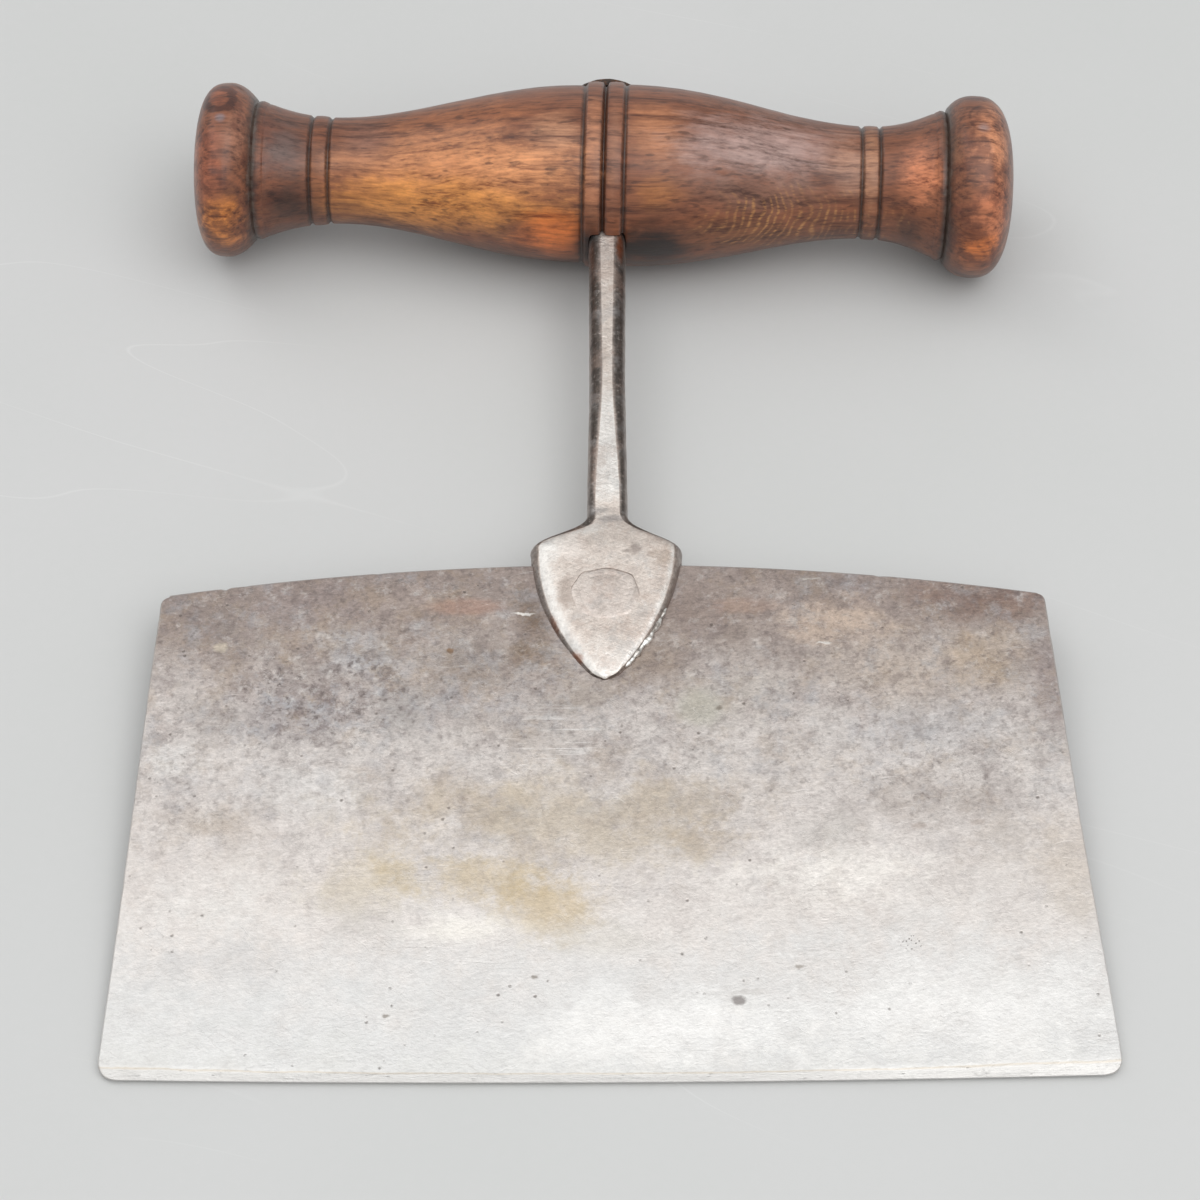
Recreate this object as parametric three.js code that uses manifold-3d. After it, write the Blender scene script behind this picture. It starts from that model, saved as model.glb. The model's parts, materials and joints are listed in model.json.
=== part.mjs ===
// A T-handled kitchen chopper: a wide steel blade on a forged iron shank, with a turned wooden cross handle.
// Millimetres. The tool lies on its handle and its cutting edge, front face up.
// The blade's frame: X along the cutting edge, -Y from the handle's axis to the edge, Z out of the front face.
// The shank, and the handle on it, stand a little askew to the blade, as the photo shows.

import * as THREE from "three";
import { mergeVertices } from "three/addons/utils/BufferGeometryUtils.js";
import Module from "manifold-3d";

const wasm = await Module();
wasm.setup();

// Clearances and the run of a cutter past what it cuts.
const seatGap = 0.3;
const cheekGap = 0.25;
const overrun = 5;

// Blade plate. Distances called At are measured from the handle's axis towards the cutting edge.
const bladeTopAt = 80.8;
const bladeHeight = 90;
const bladeEdgeAt = bladeTopAt + bladeHeight;
const bladeTopWidth = 140.1;
const bladeEdgeWidth = 151;
const bladeTopDrop = 5.7;
const bladeEdgeRise = 0.85;
const bladeThickness = 1.8;
const bladeTopCorner = 1.2;
const bladeEdgeCorner = 4.4;
const bevelHeight = 1.3;
const bevelLineRise = 1.75;
const edgeThickness = 0.35;
const bladeCurveSteps = 16;

// Forged shank. Its offset and skew are measured from the middle of the blade.
const shankOffset = 0.9;
const shankSkewDeg = -0.33;
const shankWidth = 6.1;
const shankWaistWidth = 5.8;
const shankDepth = 6;
const shankWaistDepth = 5.4;
const shankWall = 2.4;
const shankFacet = 2.5;
const shankWaistFacet = 1.9;
const shankNeckFacet = 4.4;
const shankNeckDepth = 5.8;
const shankWaistAt = 44;
const shankSteps = 9;

// Shield-shaped cheeks at the foot of the shank, one on each face of the blade.
const neckAt = 70;
const shieldWidestAt = 78.6;
const shieldTipAt = 102.3;
const shieldWidth = 23.4;
const shieldDepth = 6.1;
const shieldTipDepth = 3.9;
const shieldWall = 3.4;
const shieldFaceInset = 1.15;
const shieldTipInset = 0.45;
const shoulderEaseShare = 1.18;
const shieldSideCurveShare = 1.7;
const shieldTipCurveShare = 0.8;
const shoulderSteps = 9;
const shieldSteps = 14;
const shieldLastStepShare = 0.985;

// Tang through the handle, hammered over a burr at the handle's back.
const tangWidth = 4.4;
const tangCornerShare = 0.75;
const tangHeadWidth = 7.6;
const tangHeadHeight = 1.5;
const tangHeadCrownShare = 0.45;
const burrRadius = 6.5;
const burrThickness = 1.5;
const burrPocketDepth = 1.55;
const burrSides = 28;

// Rivet through both cheeks and the blade, filed flush.
const rivetAt = 87.2;
const rivetX = -0.35;
const rivetShankRadius = 2.6;
const rivetHeadRadius = 4.6;
const rivetConeHeight = 1.7;
const rivetStretchShare = 1.18;
const rivetSides = 24;

// Turned handle. The two ends were turned by eye, so each has its own sizes, from the band outwards.
const handleSkewDeg = -1.5;
const handleSides = 40;
const bandCentre = -0.4;
const bandRadius = 15.75;
const burrSeatAt = bandRadius - burrPocketDepth;
const bandHalfWidth = 3.5;
const bandGrooveDepth = 0.75;
const bandGrooveHalfWidth = 0.75;
const ringGrooveDepth = 0.5;
const ringGrooveHalfWidth = 0.6;
const knobGrooveHalfWidth = 1;
const bellySteps = 12;
const flareSteps = 6;
const knobSteps = 10;
const handleLeft = {
  belly: 15.15,
  waist: 8.95,
  waistAt: 46,
  ringsAt: [47.6, 50.5],
  flareCurveShare: 2.1,
  lip: 11.9,
  lipAt: 58.4,
  knobGroove: 11.3,
  knobGrooveAt: 59.6,
  knob: 14.7,
  knobAt: 65.1,
  knobInnerReach: 5.5,
  end: 70.5,
  knobCurveShare: 3.2,
};
const handleRight = {
  belly: 15.5,
  waist: 9.4,
  waistAt: 44.6,
  ringsAt: [43.7, 46.8],
  flareCurveShare: 2,
  lip: 12.7,
  lipAt: 56.9,
  knobGroove: 11.9,
  knobGrooveAt: 58,
  knob: 15.4,
  knobAt: 63.4,
  knobInnerReach: 6.2,
  end: 70,
  knobCurveShare: 2.8,
};

const steel = new THREE.MeshStandardMaterial({ color: 0xa49c94, roughness: 0.45, metalness: 1 });
const forgedIron = new THREE.MeshStandardMaterial({ color: 0x8d8884, roughness: 0.42, metalness: 1 });
const rivetIron = new THREE.MeshStandardMaterial({ color: 0xb0aaa4, roughness: 0.4, metalness: 1 });
const burrIron = new THREE.MeshStandardMaterial({ color: 0x5a5654, roughness: 0.6, metalness: 1 });
const turnedWood = new THREE.MeshStandardMaterial({ color: 0x7a4122, roughness: 0.45, metalness: 0 });

// Booleans

function toSolid(geometry) {
  const bare = geometry.clone();
  bare.deleteAttribute("normal");
  bare.deleteAttribute("uv");
  const merged = mergeVertices(bare, 1e-4);
  return new wasm.Manifold(
    new wasm.Mesh({
      numProp: 3,
      vertProperties: new Float32Array(merged.attributes.position.array),
      triVerts: new Uint32Array(merged.index.array),
    }),
  );
}

function toGeometry(solid) {
  const mesh = solid.getMesh();
  const geometry = new THREE.BufferGeometry();
  geometry.setAttribute("position", new THREE.BufferAttribute(mesh.vertProperties, 3));
  geometry.setIndex(new THREE.BufferAttribute(mesh.triVerts, 1));
  geometry.computeVertexNormals();
  return geometry;
}

// Lofting: rings of equally many points, closed at both ends

function loft(rings) {
  const sides = rings[0].length;
  const points = rings.flat();
  const faces = [];
  const quad = (a, b, c, d) => faces.push(a, b, c, a, c, d);
  for (let ring = 0; ring + 1 < rings.length; ring++) {
    for (let side = 0; side < sides; side++) {
      const next = (side + 1) % sides;
      const here = ring * sides;
      const ahead = here + sides;
      quad(here + side, here + next, ahead + next, ahead + side);
    }
  }
  const last = (rings.length - 1) * sides;
  for (let side = 1; side + 1 < sides; side++) {
    faces.push(0, side + 1, side);
    faces.push(last, last + side, last + side + 1);
  }
  const geometry = new THREE.BufferGeometry().setFromPoints(points);
  geometry.setIndex(faces);
  return geometry;
}

// An eight-sided section of the forging: a flat facet front and back, upright walls and slopes between.
function section({ at, width, facet, depth, wall }) {
  const corners = [
    [facet, depth],
    [-facet, depth],
    [-width, wall],
    [-width, -wall],
    [-facet, -depth],
    [facet, -depth],
    [width, -wall],
    [width, wall],
  ];
  return corners.map(([x, z]) => new THREE.Vector3(x / 2, -at, z / 2));
}

// Forging

function mix(from, to, share) {
  const keys = Object.keys(from);
  return Object.fromEntries(keys.map((key) => [key, THREE.MathUtils.lerp(from[key], to[key], share)]));
}

function runOf(from, to, steps) {
  const stations = [];
  for (let step = 0; step < steps; step++) {
    const share = step / steps;
    const eased = mix(from, to, THREE.MathUtils.smoothstep(share, 0, 1));
    eased.at = THREE.MathUtils.lerp(from.at, to.at, share);
    stations.push(eased);
  }
  return stations;
}

function tangStation(at, width, gap = 0) {
  const grown = width + 2 * gap;
  const corner = grown * tangCornerShare;
  return { at, width: grown, facet: corner, depth: grown, wall: corner };
}

const shankTop = {
  at: bandRadius,
  width: shankWidth,
  facet: shankFacet,
  depth: shankDepth,
  wall: shankWall,
};
const shankWaist = {
  at: shankWaistAt,
  width: shankWaistWidth,
  facet: shankWaistFacet,
  depth: shankWaistDepth,
  wall: shankWall,
};
const shankNeck = {
  at: neckAt,
  width: shankWidth,
  facet: shankNeckFacet,
  depth: shankNeckDepth,
  wall: shankWall,
};
const burrBackAt = burrSeatAt + seatGap + burrThickness;
const headUnderAt = burrBackAt + seatGap;

function shieldStations() {
  const stations = [];
  const spread = shieldWidth - shankWidth;
  for (let step = 0; step <= shoulderSteps; step++) {
    const share = step / shoulderSteps;
    const eased = THREE.MathUtils.smoothstep(share ** shoulderEaseShare, 0, 1);
    const width = shankWidth + spread * eased;
    const inset = THREE.MathUtils.lerp((shankWidth - shankNeckFacet) / 2, shieldFaceInset, eased);
    stations.push({
      at: THREE.MathUtils.lerp(neckAt, shieldWidestAt, share),
      width,
      facet: width - 2 * inset,
      depth: THREE.MathUtils.lerp(shankNeckDepth, shieldDepth, eased),
      wall: THREE.MathUtils.lerp(shankWall, shieldWall, eased),
    });
  }
  for (let step = 1; step <= shieldSteps; step++) {
    const share = (step / shieldSteps) * shieldLastStepShare;
    const width = shieldWidth * (1 - share ** shieldSideCurveShare) ** shieldTipCurveShare;
    const inset = Math.min(THREE.MathUtils.lerp(shieldFaceInset, shieldTipInset, share), width / 3);
    const depth = THREE.MathUtils.lerp(shieldDepth, shieldTipDepth, share);
    stations.push({
      at: THREE.MathUtils.lerp(shieldWidestAt, shieldTipAt, share),
      width,
      facet: width - 2 * inset,
      depth,
      wall: Math.min(shieldWall, depth - shieldTipInset),
    });
  }
  return stations;
}

function forgingEnvelope() {
  const head = -headUnderAt;
  const stations = [
    tangStation(head - tangHeadHeight, tangHeadWidth * tangHeadCrownShare),
    tangStation(head - tangHeadHeight / 2, tangHeadWidth * tangCornerShare),
    tangStation(head, tangHeadWidth),
    tangStation(head + seatGap / 2, tangWidth),
    ...runOf(tangStation(-burrSeatAt, tangWidth), shankTop, 1),
    ...runOf(shankTop, shankWaist, shankSteps),
    ...runOf(shankWaist, shankNeck, shankSteps),
    ...shieldStations(),
  ];
  return toSolid(loft(stations.map(section)));
}

// The hole for the tang: the tang and the root of the shank, a gap larger all round.
function tangCutter() {
  const rootWidth = Math.max(shankWidth, shankDepth);
  const behind = tangStation(-burrSeatAt - overrun, tangWidth, seatGap);
  const root = tangStation(bandRadius, rootWidth, seatGap);
  const ahead = tangStation(bandRadius + overrun, rootWidth, seatGap);
  return toSolid(loft([behind, { ...behind, at: -burrSeatAt }, root, ahead].map(section)));
}

function bladeSlot() {
  const slot = new THREE.BoxGeometry(
    shieldWidth + 2 * overrun,
    shieldTipAt - bladeTopAt + cheekGap + overrun,
    bladeThickness + 2 * cheekGap,
  );
  slot.translate(0, -(bladeTopAt - cheekGap + shieldTipAt + overrun) / 2, 0);
  return toSolid(slot);
}

// Rivet

function rivetGeometry(gap) {
  const coneFoot = bladeThickness / 2 + cheekGap;
  const coneTop = coneFoot + rivetConeHeight;
  const shankRadius = rivetShankRadius + gap;
  const headRadius = rivetHeadRadius + gap;
  const profile = [
    new THREE.Vector2(0, -coneTop - overrun),
    new THREE.Vector2(headRadius, -coneTop - overrun),
    new THREE.Vector2(headRadius, -coneTop),
    new THREE.Vector2(shankRadius, -coneFoot),
    new THREE.Vector2(shankRadius, coneFoot),
    new THREE.Vector2(headRadius, coneTop),
    new THREE.Vector2(headRadius, coneTop + overrun),
    new THREE.Vector2(0, coneTop + overrun),
  ];
  const geometry = new THREE.LatheGeometry(profile, rivetSides);
  geometry.rotateX(Math.PI / 2);
  geometry.scale(rivetStretchShare, 1, 1);
  geometry.translate(rivetX, -rivetAt, 0);
  return geometry;
}

// Blade

function bladeOutline() {
  const topHalf = bladeTopWidth / 2;
  const edgeHalf = bladeEdgeWidth / 2;
  const cornerY = -(bladeTopAt + bladeTopDrop);
  const footY = -(bladeEdgeAt - bladeEdgeRise);
  const side = new THREE.Vector2(edgeHalf - topHalf, footY - cornerY).normalize();
  const outline = new THREE.Shape();
  outline.moveTo(-topHalf + bladeTopCorner, cornerY);
  outline.quadraticCurveTo(0, -2 * bladeTopAt - cornerY, topHalf - bladeTopCorner, cornerY);
  outline.quadraticCurveTo(
    topHalf,
    cornerY,
    topHalf + side.x * bladeTopCorner,
    cornerY + side.y * bladeTopCorner,
  );
  outline.lineTo(edgeHalf - side.x * bladeEdgeCorner, footY - side.y * bladeEdgeCorner);
  outline.quadraticCurveTo(edgeHalf, footY, edgeHalf - bladeEdgeCorner, footY);
  outline.quadraticCurveTo(0, -2 * bladeEdgeAt - footY, -edgeHalf + bladeEdgeCorner, footY);
  outline.quadraticCurveTo(
    -edgeHalf,
    footY,
    -edgeHalf + side.x * bladeEdgeCorner,
    footY - side.y * bladeEdgeCorner,
  );
  outline.lineTo(-topHalf - side.x * bladeTopCorner, cornerY + side.y * bladeTopCorner);
  outline.quadraticCurveTo(-topHalf, cornerY, -topHalf + bladeTopCorner, cornerY);
  return outline;
}

// The wedge of metal that grinding takes off one face along the cutting edge. It rises towards the ends,
// and its upper line more than the edge does, as grinding by hand leaves it.
function bevelCutter(facing) {
  const edgeY = -bladeEdgeAt;
  const half = bladeThickness / 2;
  const wedge = new THREE.Shape([
    new THREE.Vector2(edgeY - overrun, edgeThickness / 2),
    new THREE.Vector2(edgeY, edgeThickness / 2),
    new THREE.Vector2(edgeY + bevelHeight, half),
    new THREE.Vector2(edgeY + bevelHeight, half + overrun),
    new THREE.Vector2(edgeY - overrun, half + overrun),
  ]);
  const length = bladeEdgeWidth + 2 * overrun;
  const geometry = new THREE.ExtrudeGeometry(wedge, {
    depth: length,
    steps: bladeCurveSteps,
    bevelEnabled: false,
  });
  geometry.translate(0, 0, -length / 2);
  const alongX = new THREE.Matrix4().makeBasis(
    new THREE.Vector3(0, 1, 0),
    new THREE.Vector3(0, 0, 1),
    new THREE.Vector3(1, 0, 0),
  );
  geometry.applyMatrix4(alongX);
  const position = geometry.getAttribute("position");
  for (let i = 0; i < position.count; i += 1) {
    const y = position.getY(i);
    const rise = y > edgeY ? bevelLineRise : bladeEdgeRise;
    position.setY(i, y + rise * (position.getX(i) / (bladeEdgeWidth / 2)) ** 2);
  }
  if (facing < 0) geometry.rotateY(Math.PI);
  return toSolid(geometry);
}

function makeBlade(shankMatrix) {
  const plate = new THREE.ExtrudeGeometry(bladeOutline(), {
    depth: bladeThickness,
    bevelEnabled: false,
    curveSegments: bladeCurveSteps,
  });
  plate.translate(0, 0, -bladeThickness / 2);
  const hole = rivetGeometry(cheekGap).applyMatrix4(shankMatrix);
  const cut = toSolid(plate).subtract(bevelCutter(1)).subtract(bevelCutter(-1)).subtract(toSolid(hole));
  const mesh = new THREE.Mesh(toGeometry(cut), steel);
  mesh.name = "blade";
  return mesh;
}

// Handle

function groove(x, centre, halfWidth, depth) {
  return depth * Math.max(0, 1 - Math.abs(x - centre) / halfWidth);
}

// Radius of one half of the handle, at a distance from the handle's middle.
function bellyRadius(half, distance, bandEnd) {
  const share = THREE.MathUtils.clamp((distance - bandEnd) / (half.waistAt - bandEnd), 0, 1);
  return half.waist + ((half.belly - half.waist) * (1 + Math.cos(Math.PI * share))) / 2;
}

function flareRadius(half, distance) {
  const share = THREE.MathUtils.clamp((distance - half.waistAt) / (half.lipAt - half.waistAt), 0, 1);
  return half.waist + (half.lip - half.waist) * share ** half.flareCurveShare;
}

function knobRadius(half, distance) {
  const reach = distance > half.knobAt ? half.end - half.knobAt : half.knobInnerReach;
  const share = Math.min(Math.abs(distance - half.knobAt) / reach, 1);
  return half.knob * (1 - share ** half.knobCurveShare) ** (1 / half.knobCurveShare);
}

// Points from the band's edge out to the end on the axis, as [distance, radius].
function halfProfile(half, bandEnd) {
  const reach = ringGrooveHalfWidth;
  const ringMarks = half.ringsAt.flatMap((at) => [at - reach, at, at + reach]);
  const plain = [];
  for (let step = 1; step < bellySteps; step++) {
    plain.push(THREE.MathUtils.lerp(bandEnd, half.waistAt, step / bellySteps));
  }
  for (let step = 0; step < flareSteps; step++) {
    plain.push(THREE.MathUtils.lerp(half.waistAt, half.lipAt, step / flareSteps));
  }
  const clear = plain.filter((x) => half.ringsAt.every((at) => Math.abs(x - at) > 2 * reach));
  const body = [...clear, ...ringMarks, half.lipAt].sort((a, b) => a - b);
  const points = body.map((x) => {
    const base = x < half.waistAt ? bellyRadius(half, x, bandEnd) : flareRadius(half, x);
    const cuts = half.ringsAt.map((at) => groove(x, at, reach, ringGrooveDepth));
    return [x, base - Math.max(...cuts)];
  });
  points.push([half.knobGrooveAt, half.knobGroove]);
  const footAt = half.knobGrooveAt + knobGrooveHalfWidth;
  for (let step = 0; step < knobSteps; step++) {
    const turn = (step / knobSteps) * (Math.PI / 2);
    const x = half.end - (half.end - footAt) * (1 - Math.sin(turn));
    points.push([x, knobRadius(half, x)]);
  }
  points.push([half.end, 0]);
  return points;
}

function handleProfile() {
  const marks = [-1, 0, 1].flatMap((step) => {
    const centre = bandCentre + step * bandHalfWidth;
    return [
      [centre - bandGrooveHalfWidth, bandRadius],
      [centre, bandRadius - bandGrooveDepth],
      [centre + bandGrooveHalfWidth, bandRadius],
    ];
  });
  const bandEnd = bandHalfWidth + bandGrooveHalfWidth;
  marks[0][1] = handleLeft.belly;
  marks.at(-1)[1] = handleRight.belly;
  const left = halfProfile(handleLeft, bandEnd - bandCentre).map(([x, r]) => [-x, r]);
  const right = halfProfile(handleRight, bandEnd + bandCentre);
  return [...left.reverse(), ...marks, ...right].map(([x, r]) => new THREE.Vector2(Math.max(r, 0), x));
}

function burrSeatCutter() {
  const radius = burrRadius + seatGap;
  const pocket = new THREE.CylinderGeometry(radius, radius, overrun, burrSides);
  pocket.translate(0, burrSeatAt + overrun / 2, 0);
  return pocket;
}

function makeHandle() {
  const turned = new THREE.LatheGeometry(handleProfile(), handleSides);
  turned.rotateZ(-Math.PI / 2);
  const mesh = new THREE.Mesh(turned, turnedWood);
  mesh.name = "handle";
  mesh.rotation.z = THREE.MathUtils.degToRad(handleSkewDeg);
  mesh.updateMatrix();
  const back = mesh.matrix.clone().invert();
  const bore = toSolid(toGeometry(tangCutter()).applyMatrix4(back));
  const pocket = toSolid(burrSeatCutter().applyMatrix4(back));
  mesh.geometry = toGeometry(toSolid(turned).subtract(bore).subtract(pocket));
  return mesh;
}

// Forging, rivet and burr

function makeShank() {
  const cut = forgingEnvelope().subtract(bladeSlot()).subtract(toSolid(rivetGeometry(cheekGap)));
  const mesh = new THREE.Mesh(toGeometry(cut), forgedIron);
  mesh.name = "shank_forging";
  return mesh;
}

function makeRivet() {
  const flush = toSolid(rivetGeometry(0)).intersect(forgingEnvelope());
  const mesh = new THREE.Mesh(toGeometry(flush), rivetIron);
  mesh.name = "cheek_rivet";
  return mesh;
}

function makeBurr() {
  const ring = new THREE.Shape().absarc(0, 0, burrRadius, 0, 2 * Math.PI);
  const half = tangWidth / 2 + seatGap;
  const hole = new THREE.Path([
    new THREE.Vector2(-half, -half),
    new THREE.Vector2(half, -half),
    new THREE.Vector2(half, half),
    new THREE.Vector2(-half, half),
  ]);
  ring.holes.push(hole);
  const geometry = new THREE.ExtrudeGeometry(ring, {
    depth: burrThickness,
    bevelEnabled: false,
    curveSegments: burrSides,
  });
  geometry.rotateX(-Math.PI / 2);
  const mesh = new THREE.Mesh(geometry, burrIron);
  mesh.name = "tang_burr";
  mesh.position.y = burrSeatAt + seatGap;
  return mesh;
}

// The tool lies down: its band touches the table behind, and in front the middle of the back face's
// bevel line does.
const shankAndHandle = new THREE.Group();
shankAndHandle.position.x = shankOffset;
shankAndHandle.rotation.z = THREE.MathUtils.degToRad(shankSkewDeg);
shankAndHandle.updateMatrix();
shankAndHandle.add(makeShank(), makeRivet(), makeHandle(), makeBurr());

const chopper = new THREE.Group();
chopper.add(makeBlade(shankAndHandle.matrix), shankAndHandle);
const footAt = bladeEdgeAt - bevelHeight;
const halfBlade = bladeThickness / 2;
chopper.rotation.x = Math.asin(bandRadius / Math.hypot(footAt, halfBlade)) - Math.atan(halfBlade / footAt);

const part = new THREE.Group();
part.add(chopper);
part.updateMatrixWorld(true);
const reach = new THREE.Box3().setFromObject(part, true);
const middle = reach.getCenter(new THREE.Vector3());
chopper.position.set(-middle.x, -middle.y, -reach.min.z);

export default part;
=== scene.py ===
# An old T-handled kitchen chopper, dressed round its solids: a stained carbon steel blade on a forged
# iron shank, with a turned beech handle. Lengths are millimetres unless a name says metres.

import json
import math
import random
from functools import partial

import bmesh
import bpy
from mathutils import Matrix, Vector, noise


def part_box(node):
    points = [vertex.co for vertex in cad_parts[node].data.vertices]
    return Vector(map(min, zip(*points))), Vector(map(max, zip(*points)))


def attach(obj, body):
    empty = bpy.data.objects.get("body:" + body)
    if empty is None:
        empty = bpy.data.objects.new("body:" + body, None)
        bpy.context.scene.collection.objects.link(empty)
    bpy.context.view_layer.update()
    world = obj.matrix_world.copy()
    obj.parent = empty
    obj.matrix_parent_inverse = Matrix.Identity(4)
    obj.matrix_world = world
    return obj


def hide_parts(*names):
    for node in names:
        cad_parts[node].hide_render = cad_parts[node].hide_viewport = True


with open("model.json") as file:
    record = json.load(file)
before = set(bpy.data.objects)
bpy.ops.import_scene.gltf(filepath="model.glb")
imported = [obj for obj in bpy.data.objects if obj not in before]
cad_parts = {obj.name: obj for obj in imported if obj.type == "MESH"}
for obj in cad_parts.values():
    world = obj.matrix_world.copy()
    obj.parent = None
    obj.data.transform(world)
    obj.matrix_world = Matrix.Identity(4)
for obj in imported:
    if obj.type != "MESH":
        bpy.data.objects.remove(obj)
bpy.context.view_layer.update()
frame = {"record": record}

random.seed(7)
metre = 0.001  # one millimetre in metres
print("solids loaded")

# Where the pieces are. The shank stands a little askew to the blade, and the handle to the shank.
stance = {
    "shankOffset": 0.9,
    "shankSkewDeg": -0.33,
    "handleSkewDeg": -1.7,
    "burrMiddleAt": 15.25,  # the burr's middle, behind the handle's axis
}
mounts = {mount["name"]: mount for mount in frame["record"]["mounts"]}
faceOut = -Vector(mounts["blade_back_face"]["axis"])
tilt = math.atan2(-faceOut.y, faceOut.z)
shankTurn = Matrix.Rotation(tilt, 4, "X") @ Matrix.Rotation(math.radians(stance["shankSkewDeg"]), 4, "Z")
burrLow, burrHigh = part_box("tang_burr")
axisPoint = (burrLow + burrHigh) / 2 - shankTurn @ Vector((0, stance["burrMiddleAt"] * metre, 0))
shankPlace = Matrix.Translation(axisPoint) @ shankTurn
shankInBlade = Matrix.Translation((stance["shankOffset"] * metre, 0, 0)) @ Matrix.Rotation(
    math.radians(stance["shankSkewDeg"]), 4, "Z"
)
bladePlace = shankPlace @ shankInBlade.inverted()
handlePlace = shankPlace @ Matrix.Rotation(math.radians(stance["handleSkewDeg"]), 4, "Z")


# Small helpers

def smooth(low, high, value):
    share = min(max((value - low) / (high - low), 0), 1)
    return share * share * (3 - 2 * share)


def mix(low, high, share):
    return low + (high - low) * share


def hexColour(code):
    parts = [int(code[at:at + 2], 16) / 255 for at in (1, 3, 5)]
    return [part / 12.92 if part <= 0.04045 else ((part + 0.055) / 1.055) ** 2.4 for part in parts] + [1]


# Adds one node. Lower-case keys are its settings, the others its inputs by name or by number.
def addNode(tree, kind, settings):
    node = tree.nodes.new("ShaderNode" + kind)
    for key, value in settings.items():
        if key == "stops":
            stops = node.color_ramp.elements
            while len(stops) < len(value):
                stops.new(1)
            for stop, (place, colour) in zip(stops, value):
                stop.position = place
                stop.color = hexColour(colour)
        elif isinstance(key, int) or key[0].isupper():
            shown = [socket for socket in node.inputs if socket.enabled]
            socket = shown[key] if isinstance(key, int) else node.inputs[key]
            if isinstance(value, bpy.types.NodeSocket):
                tree.links.new(value, socket)
            else:
                socket.default_value = value
        else:
            setattr(node, key, value)
    given = [socket for socket in node.outputs if socket.enabled]
    return given[0] if given else None


def startMaterial(name):
    material = bpy.data.materials.new(name)
    material.use_nodes = True
    material.node_tree.nodes.clear()
    return material, partial(addNode, material.node_tree)


# The piece's own millimetres, from its object coordinates.
def pieceCoords(add, place):
    spot = add("TexCoord", {}).node.outputs["Object"]
    return add("Mapping", {
        "vector_type": "TEXTURE",
        "Vector": spot,
        "Location": place.to_translation(),
        "Rotation": place.to_euler(),
        "Scale": (metre, metre, metre),
    })


# Coordinates pushed about by a noise, so that what is drawn on them gets ragged rims.
def raggedCoords(add, coords, size, push):
    cloud = add("TexNoise", {"Vector": coords, "Scale": 1 / size, "Detail": 3.0}).node.outputs["Color"]
    centred = add("VectorMath", {"operation": "SUBTRACT", 0: cloud, 1: (0.5, 0.5, 0.5)})
    pushed = add("VectorMath", {"operation": "SCALE", 0: centred, 1: push})
    return add("VectorMath", {"operation": "ADD", 0: coords, 1: pushed})


# 1 inside an egg round a centre, fading to 0 at its rim. A noise given as fray makes the rim ragged.
def stainMask(add, coords, centre, reach, softness, fray=None, fraying=0.0):
    offset = add("VectorMath", {"operation": "SUBTRACT", 0: coords, 1: centre})
    share = add("VectorMath", {"operation": "DIVIDE", 0: offset, 1: reach})
    far = add("VectorMath", {"operation": "LENGTH", 0: share})
    if fray:
        far = add("Math", {"operation": "MULTIPLY_ADD", 0: fray, 1: fraying, 2: far})
    shift = fraying / 2 if fray else 0
    return add("MapRange", {
        "interpolation_type": "SMOOTHSTEP", "Value": far, "From Min": 1.0 + shift, "From Max": 1.0 - softness + shift,
    })


# Long thin lines along X: the level lines of a stretched noise, broken up by a second one.
def scratchMask(add, coords, angleDeg, spacing, length, thinness):
    turned = add("Mapping", {
        "vector_type": "TEXTURE", "Vector": coords,
        "Rotation": (0, 0, math.radians(angleDeg)),
        "Scale": (length, spacing, spacing),
    })
    line = add("TexNoise", {"Vector": turned, "Scale": 1.0, "Detail": 1.0})
    away = add("Math", {"operation": "ABSOLUTE", 0: add("Math", {"operation": "SUBTRACT", 0: line, 1: 0.5})})
    thin = add("MapRange", {"Value": away, "From Min": thinness, "From Max": 0.0})
    broken = add("TexNoise", {"Vector": coords, "Scale": 1 / (length * 0.6), "Detail": 2.0})
    kept = add("MapRange", {"Value": broken, "From Min": 0.5, "From Max": 0.62})
    return add("Math", {"operation": "MULTIPLY", 0: thin, 1: kept})


# Thin nested lines round a centre, as growth rings show where a turned shape cuts through them.
def ringLines(add, coords, centre, stretch, spacing, width, sway, swaying):
    offset = add("VectorMath", {"operation": "SUBTRACT", 0: coords, 1: centre})
    share = add("VectorMath", {"operation": "DIVIDE", 0: offset, 1: stretch})
    far = add("VectorMath", {"operation": "LENGTH", 0: share})
    far = add("Math", {"operation": "MULTIPLY_ADD", 0: far, 1: 1 / spacing, 2: -swaying / 2})
    turns = add("Math", {"operation": "MULTIPLY_ADD", 0: sway, 1: swaying, 2: far})
    saw = add("Math", {"operation": "PINGPONG", 0: turns, 1: 0.5})
    return add("MapRange", {
        "interpolation_type": "SMOOTHSTEP", "Value": saw, "From Min": 0.5 - width, "From Max": 0.48,
    })


# Draws a ring of points out from section to section, and closes both ends.
def loft(rings):
    bm = bmesh.new()
    around = bm.verts.layers.int.new("around")
    start = bmesh.ops.create_circle(bm, cap_ends=False, segments=len(rings[0]), radius=1)["verts"]
    for number, vert in enumerate(start):
        vert[around] = number
        vert.co = rings[0][number]
    edges = bm.edges[:]
    for ring in rings[1:]:
        made = bmesh.ops.extrude_edge_only(bm, edges=edges)["geom"]
        edges = [part for part in made if isinstance(part, bmesh.types.BMEdge) and part.is_boundary]
        for vert in [part for part in made if isinstance(part, bmesh.types.BMVert)]:
            vert.co = ring[vert[around]]
    bmesh.ops.holes_fill(bm, edges=[edge for edge in bm.edges if edge.is_boundary], sides=0)
    bmesh.ops.recalc_face_normals(bm, faces=bm.faces)
    return bm


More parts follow.
